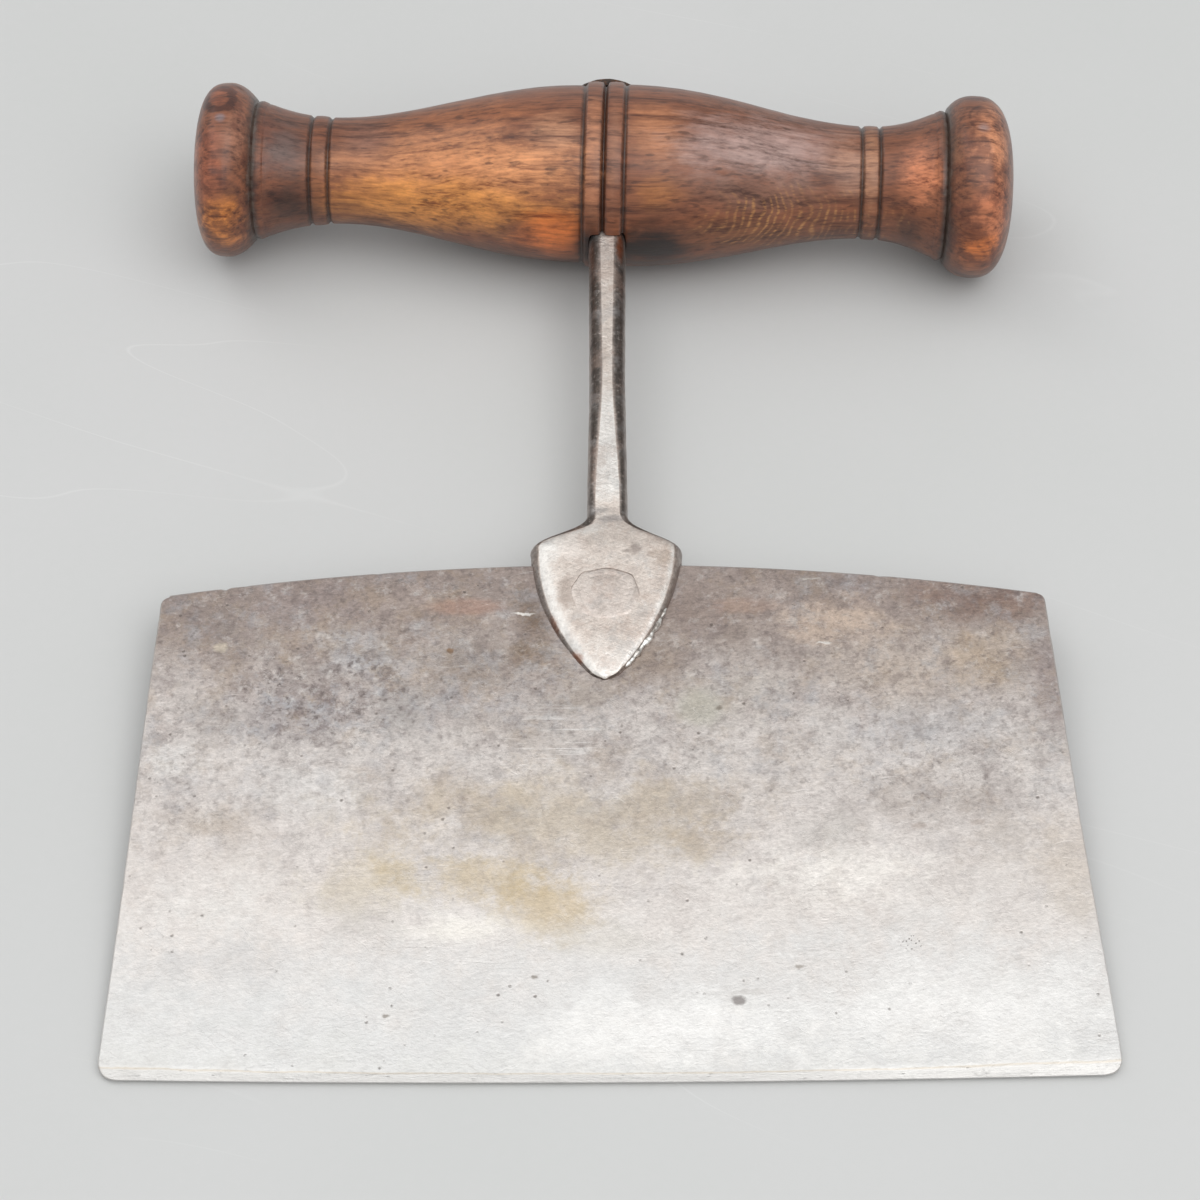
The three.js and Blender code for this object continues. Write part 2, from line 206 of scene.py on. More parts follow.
# Takes the closed shapes of the cutters from a closed shape.
def cutAway(bm, cutters):
    shapes = []
    for shape in [bm, *cutters]:
        mesh = bpy.data.meshes.new("bench")
        shape.to_mesh(mesh)
        shape.free()
        shapes.append(bpy.data.objects.new("bench", mesh))
        bpy.context.scene.collection.objects.link(shapes[-1])
    for cutter in shapes[1:]:
        cut = shapes[0].modifiers.new("cut", "BOOLEAN")
        cut.operation = "DIFFERENCE"
        cut.solver = "EXACT"
        cut.object = cutter
    view = bpy.context.evaluated_depsgraph_get()
    result = bpy.data.meshes.new_from_object(shapes[0].evaluated_get(view))
    out = bmesh.new()
    out.from_mesh(result)
    for shape in shapes:
        bpy.data.objects.remove(shape)
    return out


def finishPiece(name, bm, place, material, node=None, sharpDeg=35):
    mesh = bpy.data.meshes.new(name)
    bm.to_mesh(mesh)
    bm.free()
    mesh.transform(place @ Matrix.Scale(metre, 4))
    mesh.polygons.foreach_set("use_smooth", [True] * len(mesh.polygons))
    mesh.set_sharp_from_angle(angle=math.radians(sharpDeg))
    mesh.materials.append(material)
    piece = bpy.data.objects.new(name, mesh)
    bpy.context.scene.collection.objects.link(piece)
    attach(piece, "root")
    if node:
        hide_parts(node)
    print(name, "made,", len(mesh.polygons), "faces")
    return piece


# Handle: one turned piece. The two ends were turned by eye, so each has its own sizes.

turned = {
    "bandCentre": -0.4,
    "bandRadius": 15.75,
    "bandHalfWidth": 3.5,
    "bandGrooveDepths": (0.42, 0.8, 0.42),
    "bandGrooveHalfWidth": 0.62,
    "bandCrown": 0.12,
    "ringGrooveDepth": 0.36,
    "ringGrooveHalfWidth": 0.55,
    "ringCrown": 0.14,
    "knobGrooveHalfWidth": 0.42,
    "lipBeadWidth": 1,
    "lipBeadGroove": 0.12,
    "coarseStep": 0.6,
    "fineStep": 0.12,
    "turnSteps": 150,
    "wobble": 0.09,
    "bow": 0.85,  # an old handle warps: its ends have come forward this much
    "slack": 0.35,  # and it has worked this far forward on its tang
    "lift": 0.17,
    "left": {
        "belly": 15.15, "waist": 9.1, "fullness": 0.15, "waistAt": 46, "ringsAt": (47.4, 50.6), "flareCurve": 2.1,
        "lip": 11.8, "lipAt": 59.2, "knobGroove": 11.6, "knobGrooveAt": 60.1, "innerKnobCurve": 1.85, "outerKnobCurve": 3.1,
        "knob": 14.88, "knobAt": 64.8, "knobInnerReach": 8.1, "end": 70.5,
    },
    "right": {
        "belly": 15.5, "waist": 9.6, "fullness": 0.2, "waistAt": 44.6, "ringsAt": (43.5, 46.6), "flareCurve": 2,
        "lip": 12.75, "lipAt": 56.85, "knobGroove": 12.4, "knobGrooveAt": 57.75, "innerKnobCurve": 2.5,
        "outerKnobCurve": 2.65, "knob": 15.52, "knobAt": 62.8, "knobInnerReach": 7.4, "end": 69.55,
    },
}


def hollow(distance, centre, halfWidth, depth):
    share = min(abs(distance - centre) / halfWidth, 1)
    return depth * (0.5 + 0.5 * math.cos(math.pi * share))


def crown(distance, low, high, height):
    if not low < distance < high:
        return 0
    return height * math.sin(math.pi * (distance - low) / (high - low))


# Radius of one half, at a distance from the handle's middle, from the band's rim to the lip.
def bodyRadius(half, distance, bandEnd):
    if distance < half["waistAt"]:
        share = max((distance - bandEnd) / (half["waistAt"] - bandEnd), 0)
        base = half["waist"] + (half["belly"] - half["waist"]) * (1 + math.cos(math.pi * share)) / 2
        base += half["fullness"] * math.sin(math.pi * share) ** 2
    else:
        share = (distance - half["waistAt"]) / (half["lipAt"] - half["waistAt"])
        base = half["waist"] + (half["lip"] - half["waist"]) * share ** half["flareCurve"]
    first, second = half["ringsAt"]
    reach = turned["ringGrooveHalfWidth"]
    base += crown(distance, first + reach / 2, second - reach / 2, turned["ringCrown"])
    base -= hollow(distance, half["lipAt"] - turned["lipBeadWidth"], 0.3, turned["lipBeadGroove"])
    return base - max(hollow(distance, at, reach, turned["ringGrooveDepth"]) for at in (first, second))


def bandRadius(x):
    fromCentre = x - turned["bandCentre"]
    half = turned["left"] if fromCentre < 0 else turned["right"]
    reach = turned["bandGrooveHalfWidth"]
    width = turned["bandHalfWidth"]
    radius = mix(turned["bandRadius"], half["belly"], smooth(width - reach, width + reach, abs(fromCentre)))
    radius += crown(abs(fromCentre), reach / 2, width - reach / 2, turned["bandCrown"])
    for centre, depth in zip((-width, 0, width), turned["bandGrooveDepths"]):
        radius -= hollow(fromCentre, centre, reach, depth)
    return radius


def halfOutline(half, bandEnd):
    marks = set()
    place = bandEnd
    while place < half["lipAt"]:
        marks.add(round(place, 4))
        nearGroove = min(abs(place - at) for at in (*half["ringsAt"], half["lipAt"])) < 1.4
        place += turned["fineStep"] if nearGroove else turned["coarseStep"]
    points = [(mark, bodyRadius(half, mark, bandEnd)) for mark in sorted(marks)]
    # The groove beside the knob, from the lip down and up to the knob's foot
    footAt = half["knobGrooveAt"] + turned["knobGrooveHalfWidth"]
    reach = half["end"] - half["knobAt"]
    footShare = (half["knobAt"] - footAt) / half["knobInnerReach"]
    inner, outer = half["innerKnobCurve"], half["outerKnobCurve"]
    foot = half["knob"] * (1 - footShare ** inner) ** (1 / inner)
    for step in range(21):
        place = mix(half["lipAt"], footAt, step / 20)
        if place < half["knobGrooveAt"]:
            share = (half["knobGrooveAt"] - place) / (half["knobGrooveAt"] - half["lipAt"])
            radius = mix(half["knobGroove"], half["lip"], math.sqrt(1 - (1 - share) ** 2))
        else:
            radius = mix(half["knobGroove"], foot, smooth(half["knobGrooveAt"], footAt, place) ** 0.8)
        points.append((place, radius))
    # The knob, as a squarish round: its inner side first, then its end
    power = 2 / inner
    startTurn = math.asin(footShare ** (1 / power))
    for step in range(1, 19):
        angle = startTurn * (1 - step / 18)
        points.append((
            half["knobAt"] - half["knobInnerReach"] * math.sin(angle) ** power,
            half["knob"] * math.cos(angle) ** power,
        ))
    power = 2 / outer
    for step in range(1, 31):
        angle = math.pi / 2 * step / 30
        points.append((
            half["knobAt"] + reach * math.sin(angle) ** power,
            half["knob"] * max(math.cos(angle), 0) ** power if step < 30 else 0,
        ))
    return points


def makeHandleShape():
    width = turned["bandHalfWidth"] + turned["bandGrooveHalfWidth"]
    left = [(-x, r) for x, r in halfOutline(turned["left"], width - turned["bandCentre"])]
    right = halfOutline(turned["right"], width + turned["bandCentre"])
    steps = round(2 * width / turned["fineStep"])
    band = [turned["bandCentre"] + mix(-width, width, step / steps) for step in range(1, steps)]
    outline = [*left[::-1], *[(x, bandRadius(x)) for x in band], *right]
    bm = bmesh.new()
    verts = [bm.verts.new((x, 0, r)) for x, r in outline]
    for one, other in zip(verts, verts[1:]):
        bm.edges.new((one, other))
    bmesh.ops.spin(
        bm, geom=[*bm.verts, *bm.edges], axis=(1, 0, 0), cent=(0, 0, 0), angle=2 * math.pi,
        steps=turned["turnSteps"], use_merge=True, use_duplicate=False,
    )
    bmesh.ops.remove_doubles(bm, verts=bm.verts, dist=0.0005)
    bmesh.ops.recalc_face_normals(bm, faces=bm.faces)
    # Old wood: a little out of round, with a few soft dents
    dents = [
        (Vector((-66, -9, 12)), 1.6, 0.22), (Vector((-63, 8, 12)), 1.2, 0.18), (Vector((64, -4, 15)), 1.8, 0.2),
        (Vector((61, -13, 7)), 1.4, 0.2), (Vector((-20, -6, 13)), 2.2, 0.1), (Vector((30, -8, 10)), 2.6, 0.12),
        (Vector((12, 3, 15)), 1.7, 0.1), (Vector((66, 10, 10)), 1.5, 0.2), (Vector((-66, 2, -14)), 1.8, 0.2),
    ]
    half = turned["left"]
    for vert in bm.verts:
        out = Vector((0, vert.co.y, vert.co.z))
        if out.length < 0.01:
            continue
        push = turned["wobble"] * (noise.noise(vert.co * 0.09) + 0.35 * noise.noise(vert.co * 0.4))
        for centre, reach, depth in dents:
            push -= depth * (1 - smooth(0, reach, (vert.co - centre).length))
        vert.co += out.normalized() * min(push, 0.03)
        vert.co.y -= turned["slack"] + turned["bow"] * (vert.co.x / half["knobAt"]) ** 2
        vert.co.z += turned["lift"]
    return bm


beechLook = {
    "ringSpacing": 1.2,  # growth rings are 1 to 2 mm apart in slow-grown beech
    "pith": (0, 62, 6),  # where the rings' centre runs, behind the handle
    "fleckLength": 3.4,
    "fleckWidth": 0.3,
    "wood": "#7C4A31",
    "fleck": "#3A1C12",
    "blotch": "#55291C",
    "grime": "#1E1512",
    "wax": "#665B52",
    "stain": "#1E120D",
    "goldenRing": "#CC9257",
    # Tints by place: along the handle, up its lying front and out of it, then reach, colour and strength
    "tints": (
        ((-26, -1, 12), (30, 10, 12), "#CC8858", 0.95), ((-27, -7, 9), (30, 6.5, 12), "#DB9148", 0.85),
        ((-12, -1, 12), (15, 6, 10), "#E29A66", 0.75), ((-30, 9, 9), (30, 4.5, 9), "#9C5E38", 0.75),
        ((-9, -11.5, 9), (9, 5, 11), "#DC7836", 0.85), ((-9, 5, 13), (7, 5, 9), "#C08B68", 0.7),
        ((-41, 4, 9), (6, 5, 9), "#8A6050", 0.6), ((-55, 3, 10), (6, 9, 12), "#5F4740", 0.95),
        ((-54, -6.5, 7), (7, 6.5, 10), "#33201B", 0.85), ((-49.2, -3, 9), (1.6, 9, 12), "#8A5636", 0.8),
        ((-67, -1, 10), (4, 10, 14), "#A96246", 0.85), ((-63, 3, 12), (3, 7, 9), "#9C6C55", 0.7),
        # (-65.4, 6.3, 13) #8E8C94 is a painted glint: a pale bluish spot on the left knob's top
        ((-63, -7, 9), (2.5, 3.5, 9), "#4A2A22", 0.75), ((-65.4, 6.3, 13), (1.3, 1.2, 4), "#8E8C94", 0.6),
        ((-65, -10.5, 8), (5.5, 5.5, 12), "#DE8A40", 0.95), ((-66, 10.5, 8), (4.5, 4, 9), "#A55C3A", 0.7),
        ((-2, 2, 14), (2.4, 14, 12), "#B57B59", 0.85), ((1.3, 2, 14), (1.6, 14, 12), "#9A6A50", 0.7),
        ((8.5, 5, 13), (7, 8, 12), "#B27650", 0.85), ((9, -4.5, 12), (7, 4, 9), "#B8763E", 0.6),
        # (26, 4, 12) #A3877F is a painted sheen: the pale greyish band where the overhead light reflects along the
        # right belly
        ((26, 4, 12), (21, 8, 14), "#A3877F", 0.9), ((26, -4, 11), (20, 5, 14), "#7C5848", 0.7),
        ((24, -11, 8), (20, 4, 10), "#7A4B2D", 0.8), ((41, 1, 9), (6, 7, 12), "#AC8068", 0.75),
        ((9, -13.6, 8), (9.5, 7, 14), "#200E08", 1.0), ((-2.6, -13.2, 8), (3.6, 7, 14), "#1A0D0A", 0.97),
        ((45, 2, 9), (2.2, 12, 12), "#B28060", 0.8),
        ((53.5, -0.5, 10), (5.5, 7, 12), "#CE8058", 0.95), ((52, -9, 6), (4, 4, 8), "#4E2E20", 0.85),
        ((58.5, 4, 10), (2.4, 10, 12), "#80583F", 0.7), ((58.5, -9, 8), (1.8, 6, 12), "#46291E", 0.8),
        ((64.5, 5, 12), (4.5, 11, 14), "#C68560", 0.95), ((65, -6, 12), (4.5, 9, 12), "#C47852", 0.85),
        # (63.5, 7.5, 13) #8E8C94 is a painted glint: a pale bluish spot on the right knob's top
        ((63.5, -12, 8), (4.5, 4.5, 9), "#D07434", 0.9), ((63.5, 7.5, 13), (1.5, 1.3, 4), "#8E8C94", 0.5),
    ),
    # Where the growth rings close into loops: centre, reach, spacing and strength
    "loops": (
        ((-66, 9.9, 10), (3.8, 3.8, 9), 5, 1.1), ((62.5, -13, 6), (4.6, 3.4, 9), 1.9, 0.3),
        ((64, 9, 10), (4.5, 4, 9), 2, 0.3), ((51.5, -8.5, 6), (3.6, 3, 8), 2.4, 0.2),
    ),
}


# Beech, turned and darkened by oil and hands: straight grain with short dark flecks, growth rings that close into loops
# where the shape swells, black grime in the grooves and a waxed sheen, with painted light on top: a painted sheen and
# glints, and painted shading that is lighter on the side facing out.
def makeBeech():
    material, add = startMaterial("oiledTurnedBeech")
    coords = pieceCoords(add, handlePlace)
    along = add("SeparateXYZ", {"Vector": coords}).node.outputs["X"]
    # Fibres: a noise drawn out along the grain, which runs a little askew
    bent = raggedCoords(add, coords, 30, 3)
    grain = add("Mapping", {"Vector": bent, "Rotation": (0, 0, math.radians(2)), "Scale": (0.07, 1, 1)})
    fibres = add("TexNoise", {"Vector": grain, "Scale": 2.3, "Detail": 5.0, "Roughness": 0.68})
    bands = add("TexNoise", {"Vector": grain, "Scale": 0.5, "Detail": 3.0, "Roughness": 0.6})
    frayed = add("Mapping", {"Vector": bent, "Scale": (0.35, 1, 1)})
    fray = add("TexNoise", {"Vector": frayed, "Scale": 0.4, "Detail": 6.0, "Roughness": 0.66})
    # Growth rings round the pith
    fromPith = add("VectorMath", {"operation": "SUBTRACT", 0: bent, 1: beechLook["pith"]})
    flat = add("VectorMath", {"operation": "MULTIPLY", 0: fromPith, 1: (0.06, 1, 1)})
    rings = add("TexNoise", {
        "noise_dimensions": "1D", "W": add("VectorMath", {"operation": "LENGTH", 0: flat}),
        "Scale": 1 / beechLook["ringSpacing"], "Detail": 3.0, "Roughness": 0.6,
    })
    # The tints of the worn, bleached and blackened places, and a painted sheen and painted glints where the overhead
    # light reflects
    side = add("Mapping", {"Vector": coords, "Rotation": (math.radians(-32), 0, 0)})
    wood = hexColour(beechLook["wood"])
    for centre, reach, colour, strength in beechLook["tints"]:
        mask = stainMask(add, side, centre, reach, 0.85, fray, 1.3)
        part = add("Math", {"operation": "MULTIPLY", 0: mask, 1: strength})
        wood = add("Mix", {"data_type": "RGBA", 0: part, 1: wood, 2: hexColour(colour)})
    # Light and dark of the grain, redder where it is dark
    tone = add("Math", {"operation": "MULTIPLY_ADD", 0: fibres, 1: 2.0, 2: -0.45})
    tone = add("Math", {"operation": "MULTIPLY_ADD", 0: bands, 1: 1.8, 2: add(
        "Math", {"operation": "ADD", 0: tone, 1: -0.9})})
    tone = add("Math", {"operation": "MULTIPLY_ADD", 0: rings, 1: 1.1, 2: add(
        "Math", {"operation": "ADD", 0: tone, 1: -0.55})})
    # The knobs are turned across the grain and took the oil unevenly
    blotches = add("TexNoise", {"Vector": bent, "Scale": 0.3, "Detail": 6.0, "Roughness": 0.62})
    onKnob = add("MapRange", {"Value": add("Math", {"operation": "ABSOLUTE", 0: along}), "From Min": 54.0,
                              "From Max": 61.0, "To Min": 0.2, "To Max": 0.65})
    blotchMask = add("MapRange", {"Value": blotches, "From Min": 0.47, "From Max": 0.6})
    blotchMask = add("Math", {"operation": "MULTIPLY", 0: blotchMask, 1: onKnob})
    wood = add("Mix", {"data_type": "RGBA", 0: blotchMask, 1: wood, 2: hexColour(beechLook["blotch"])})
    for centre, reach, spacing, strength in beechLook["loops"]:
        lines = ringLines(add, side, centre, (1, 1, 2), spacing, 0.2, fray, 0.5)
        here = stainMask(add, side, centre, reach, 0.3, fray, 0.6)
        dark = add("Math", {"operation": "MULTIPLY", 0: lines, 1: here})
        tone = add("Math", {"operation": "MULTIPLY_ADD", 0: dark, 1: -strength, 2: tone})
    shade = add("ValToRGB", {"Fac": tone, "stops": ((0.0, "#8B756B"), (0.5, "#DEDEDE"), (1.0, "#FFFFFF"))})
    wood = add("VectorMath", {"operation": "MULTIPLY", 0: wood, 1: shade})
    # Painted shading: the side facing out is painted up to 1.42 times lighter, and the rims and far side are darker, at
    # 0.9
    outward = add("SeparateXYZ", {"Vector": side}).node.outputs["Z"]
    rubbed = add("MapRange", {"Value": outward, "From Min": 0.0, "From Max": 10.0, "To Min": 0.9, "To Max": 1.42})
    wood = add("VectorMath", {"operation": "SCALE", 0: wood, 1: rubbed})
    # Pale rings that curve round the right belly's lower side
    sway = add("TexNoise", {"Vector": side, "Scale": 0.1, "Detail": 2.0})
    arcs = ringLines(add, side, (9, -7, 9), (1, 0.5, 1), 1.3, 0.3, sway, 5.0)
    here = stainMask(add, side, (30, -8, 8), (21, 6, 10), 0.9, fray, 2.6)
    arcMask = add("Math", {"operation": "MULTIPLY", 0: arcs, 1: here})
    kept = add("MapRange", {"Value": fibres, "From Min": 0.38, "From Max": 0.6, "To Max": 0.75})
    arcMask = add("Math", {"operation": "MULTIPLY", 0: arcMask, 1: kept})
    wood = add("Mix", {"data_type": "RGBA", 0: arcMask, 1: wood, 2: hexColour(beechLook["goldenRing"])})
    # Ray flecks, thick in some places and rare in others
    fleckSpots = add("Mapping", {"Vector": bent, "Rotation": (0, 0, math.radians(2)), "Scale": (
        1 / beechLook["fleckLength"], 1 / (3 * beechLook["fleckWidth"]), 1 / (3 * beechLook["fleckWidth"]),
    )})
    flecks = add("TexNoise", {"Vector": fleckSpots, "Scale": 1.0, "Detail": 1.0})
    fleckHere = add("MapRange", {"Value": fray, "From Min": 0.42, "From Max": 0.6, "To Min": 0.05, "To Max": 0.6})
    fleckMask = add("MapRange", {"Value": flecks, "From Min": 0.59, "From Max": 0.67})
    fleckMask = add("Math", {"operation": "MULTIPLY", 0: fleckMask, 1: fleckHere})
    wood = add("Mix", {"data_type": "RGBA", 0: fleckMask, 1: wood, 2: hexColour(beechLook["fleck"])})
    # Grime in the grooves, by place along the handle
    marks = [(turned["bandCentre"] + step * turned["bandHalfWidth"], 0.42) for step in (-1, 1)]
    marks += [(turned["bandCentre"], 0.55)]
    marks += [(-at, 0.42) for at in turned["left"]["ringsAt"]] + [(at, 0.42) for at in turned["right"]["ringsAt"]]
    patchy = add("TexNoise", {"Vector": coords, "Scale": 0.7, "Detail": 4.0, "Roughness": 0.7})
    patchy = add("Math", {"operation": "MULTIPLY_ADD", 0: patchy, 1: 2.0, 2: -1.0})
    for mark, reach in marks:
        near = add("Math", {"operation": "ABSOLUTE", 0: add("Math", {"operation": "SUBTRACT", 0: along, 1: mark})})
        near = add("Math", {"operation": "MULTIPLY_ADD", 0: patchy, 1: 0.4, 2: near})
        mask = add("MapRange", {"Value": near, "From Min": reach * 1.6, "From Max": reach * 0.1, "To Max": 0.82})
        wood = add("Mix", {"data_type": "RGBA", 0: mask, 1: wood, 2: hexColour(beechLook["grime"])})
    for mark in (-turned["left"]["knobGrooveAt"], turned["right"]["knobGrooveAt"]):
        near = add("Math", {"operation": "ABSOLUTE", 0: add("Math", {"operation": "SUBTRACT", 0: along, 1: mark})})
        mask = add("MapRange", {"Value": near, "From Min": 1.3, "From Max": 0.3, "To Max": 0.8})
        wood = add("Mix", {"data_type": "RGBA", 0: mask, 1: wood, 2: hexColour(beechLook["grime"])})
        near = add("Math", {"operation": "MULTIPLY_ADD", 0: patchy, 1: 1.6, 2: near})
        mask = add("MapRange", {"Value": near, "From Min": 0.5, "From Max": 0.0, "To Max": 0.45})
        wood = add("Mix", {"data_type": "RGBA", 0: mask, 1: wood, 2: hexColour(beechLook["wax"])})
    # The dark stain where the iron goes into the wood
    stain = stainMask(add, coords, (2, -14.5, -1), (9, 5, 6), 0.8, fray, 1.3)
    stain = add("Math", {"operation": "MULTIPLY", 0: stain, 1: 0.9})
    wood = add("Mix", {"data_type": "RGBA", 0: stain, 1: wood, 2: hexColour(beechLook["stain"])})
    gloss = add("MapRange", {"Value": fray, "From Min": 0.35, "From Max": 0.65, "To Min": 0.44, "To Max": 0.6})
    relief = add("Math", {"operation": "MULTIPLY_ADD", 0: fleckMask, 1: -0.8, 2: fibres})
    bump = add("Bump", {"Height": relief, "Strength": 0.6, "Distance": 0.00012})
    shader = add("BsdfPrincipled", {
        "Base Color": wood, "Roughness": gloss, "IOR": 1.5, "Normal": bump,
        "Coat Weight": 0.6, "Coat Roughness": 0.3, "Specular IOR Level": 0.3,
    })
    add("OutputMaterial", {"Surface": shader})
    return material


# Blade: a steel plate, ground along its lower edge.

blade = {
    "topAt": 80.65, "edgeAt": 170.8, "topWidth": 140.1, "edgeWidth": 151, "topDrops": (5.55, 5.9), "edgeRise": 0.85,
    "thickness": 1.8, "edgeThickness": 0.35, "bevelHeight": 1.05, "bevelRises": (0.55, 0.85),
    "topCorner": 1.2, "edgeCorner": 2.8, "rightFlare": 0.5, "leftFlare": 0.6, "rimEase": 0.3, "wave": 0.05, "nick": 0.12,
    "nicks": ((-60.6, 0.9, 0.35), (-57.6, 0.6, 0.2), (-36, 0.8, 0.15), (44, 0.9, 0.2)),
    "columnStep": 0.9, "rowStep": 0.9,
}


def bladeTop(x):
    return blade["topAt"] + blade["topDrops"][x > 0] * (2 * x / blade["topWidth"]) ** 2


def bladeEdge(x):
    return blade["edgeAt"] - blade["edgeRise"] * (2 * x / blade["edgeWidth"]) ** 2


def bladeBevel(x):
    return blade["bevelHeight"] + blade["bevelRises"][x > 0] * (2 * x / blade["edgeWidth"]) ** 2


def sideHalf(at):
    top, bottom = bladeTop(blade["topWidth"] / 2), bladeEdge(blade["edgeWidth"] / 2)
    return mix(blade["topWidth"] / 2, blade["edgeWidth"] / 2, (at - top) / (bottom - top))


# The sides were cut by eye: the left one stands out at its top, the right one at its foot.
def flareAt(x, at):
    if x > 0:
        return blade["rightFlare"] * smooth(125, blade["edgeAt"], at)
    return blade["leftFlare"] * (1 - smooth(90, 155, at))


# How far in the side stands where a corner of this radius is rounded, this far from the corner's end.
def cornerInset(distance, radius):
    if distance >= radius:
        return 0
    return radius - math.sqrt(max(radius ** 2 - (radius - distance) ** 2, 0))


# Steps in from a rim: close together at the rim, then wider.
def rimSteps(first, growth, count):
    steps = [0]
    for _ in range(count):
        steps.append(steps[-1] + first)
        first *= growth
    return steps


def rimDrop(distance):
    return cornerInset(distance, blade["rimEase"])


def makeBladeShape():
    fromSide, fromTop, fromEdge = rimSteps(0.09, 1.45, 6), rimSteps(0.08, 1.4, 7), rimSteps(0.09, 1.3, 11)
    columns = round(blade["edgeWidth"] / blade["columnStep"])
    rows = round((blade["edgeAt"] - blade["topAt"]) / blade["rowStep"])
    across = [("left", step) for step in fromSide[:-1]] + [("middle", step / columns) for step in range(columns + 1)]
    across += [("right", step) for step in fromSide[-2::-1]]
    down = [("top", step) for step in fromTop[:-1]] + [("middle", step / rows) for step in range(rows + 1)]
    down += [("edge", step) for step in fromEdge[-2::-1]]

    def rowAt(row, x):
        kind, step = row
        if kind == "top":
            return bladeTop(x) + step
        if kind == "edge":
            return bladeEdge(x) - step
        return mix(bladeTop(x) + fromTop[-1], bladeEdge(x) - fromEdge[-1], step)

    def reachAt(at):
        top, edge = bladeTop(blade["topWidth"] / 2), bladeEdge(blade["edgeWidth"] / 2)
        inset = max(cornerInset(at - top, blade["topCorner"]), cornerInset(edge - at, blade["edgeCorner"]))
        return sideHalf(at) - inset

    def columnX(column, at):
        kind, step = column
        leftReach, rightReach = reachAt(at) + flareAt(-1, at), reachAt(at) + flareAt(1, at)
        if kind == "middle":
            return mix(fromSide[-1] - leftReach, rightReach - fromSide[-1], step)
        return step - leftReach if kind == "left" else rightReach - step

    bm = bmesh.new()
    fromRim = bm.verts.layers.float.new("fromRim")
    bevelShare = bm.verts.layers.float.new("bevelShare")
    bmesh.ops.create_grid(bm, x_segments=len(across) - 1, y_segments=len(down) - 1, size=1)
    for vert in bm.verts:
        column = across[round((vert.co.x + 1) / 2 * (len(across) - 1))]
        row = down[round((1 - vert.co.y) / 2 * (len(down) - 1))]
        x = columnX(column, 120)
        for _ in range(4):
            at = rowAt(row, x)
            x = columnX(column, at)
        side, top, edge = reachAt(at) + flareAt(x, at) - abs(x), at - bladeTop(x), bladeEdge(x) - at
        z = blade["thickness"] / 2 - max(rimDrop(side), rimDrop(top))
        z = min(z, mix(blade["edgeThickness"] / 2, blade["thickness"] / 2, edge / bladeBevel(x)))
        vert[fromRim] = min(side, top)
        vert[bevelShare] = edge / bladeBevel(x)
        # Small nicks in the top and side rims
        for nickX, width, depth in blade["nicks"]:
            at += depth * (1 - smooth(0, width, abs(x - nickX))) * (1 - smooth(0, 1.5, top))
        worn = blade["nick"] * max(noise.noise(Vector((at * 0.35, x, 3))), 0) * (1 - smooth(0, 1.2, side))
        vert.co = (x - math.copysign(worn, x), -at, z)
    made = bmesh.ops.extrude_face_region(bm, geom=bm.faces[:])["geom"]
    for vert in [part for part in made if isinstance(part, bmesh.types.BMVert)]:
        vert.co.z = -vert.co.z
    # An old plate is never quite flat
    for vert in bm.verts:
        free = smooth(14, 30, (vert.co - Vector((0, -bladeTop(0) - 8, 0))).length)
        still = 1 - smooth(120, 165, -vert.co.y)
        vert.co.z += blade["wave"] * free * still * noise.noise(Vector((vert.co.x / 26, vert.co.y / 22, 1)))
    bmesh.ops.recalc_face_normals(bm, faces=bm.faces)
    hole = bmesh.new()
    bmesh.ops.create_cone(
        hole, cap_ends=True, segments=32, radius1=rivet["shankRadius"] + 0.1,
        radius2=rivet["shankRadius"] + 0.1, depth=6, matrix=rivetInBlade,
    )
    return cutAway(bm, [hole])


# Forging: tang, shank and the two cheeks, drawn out of one piece of iron.

forging = {
    "shankTopAt": 15.75, "waistAt": 44, "neckAt": 71, "widestAt": 78.4, "tipAt": 102.3,
    "shankWidth": 6.25, "waistWidth": 5.98, "neckWidth": 6.55, "shankDepth": 6, "waistDepth": 5.4, "neckDepth": 5.8,
    "shankFacet": 2.3, "waistFacet": 1.7, "neckFacet": 4,
    "shieldWidth": 24.3, "shieldDepth": 6.1, "tipDepth": 3.9, "faceInset": 1.3, "tipInset": 0.5,
    "shoulderEase": 1.45, "sideCurve": 1.9, "tipCurve": 0.88, "pointAt": 103.6, "pointRound": 1.1, "lean": -0.45,
    "shoulderSlip": 0.8, "slipAt": 76.4,
    "tangWidth": 4.4, "tangHeadWidth": 7.6, "tangHeadAt": -16.3, "tangHeadHeight": 1.5,
    "slotTopAt": 80.55, "slotGap": 0.03,
    "leftRoll": 3, "leftRollDepth": 0.65, "rightRoll": 1.6, "rightRollDepth": 0.4, "tipRoll": 7, "tipRollDepth": 0.5,
    "neckSaddle": 0.28,
}


# The left shoulder sits higher than the right one.
def shoulderSlip(at):
    return forging["shoulderSlip"] * math.exp(-((at - forging["slipAt"]) / 1.5) ** 2)


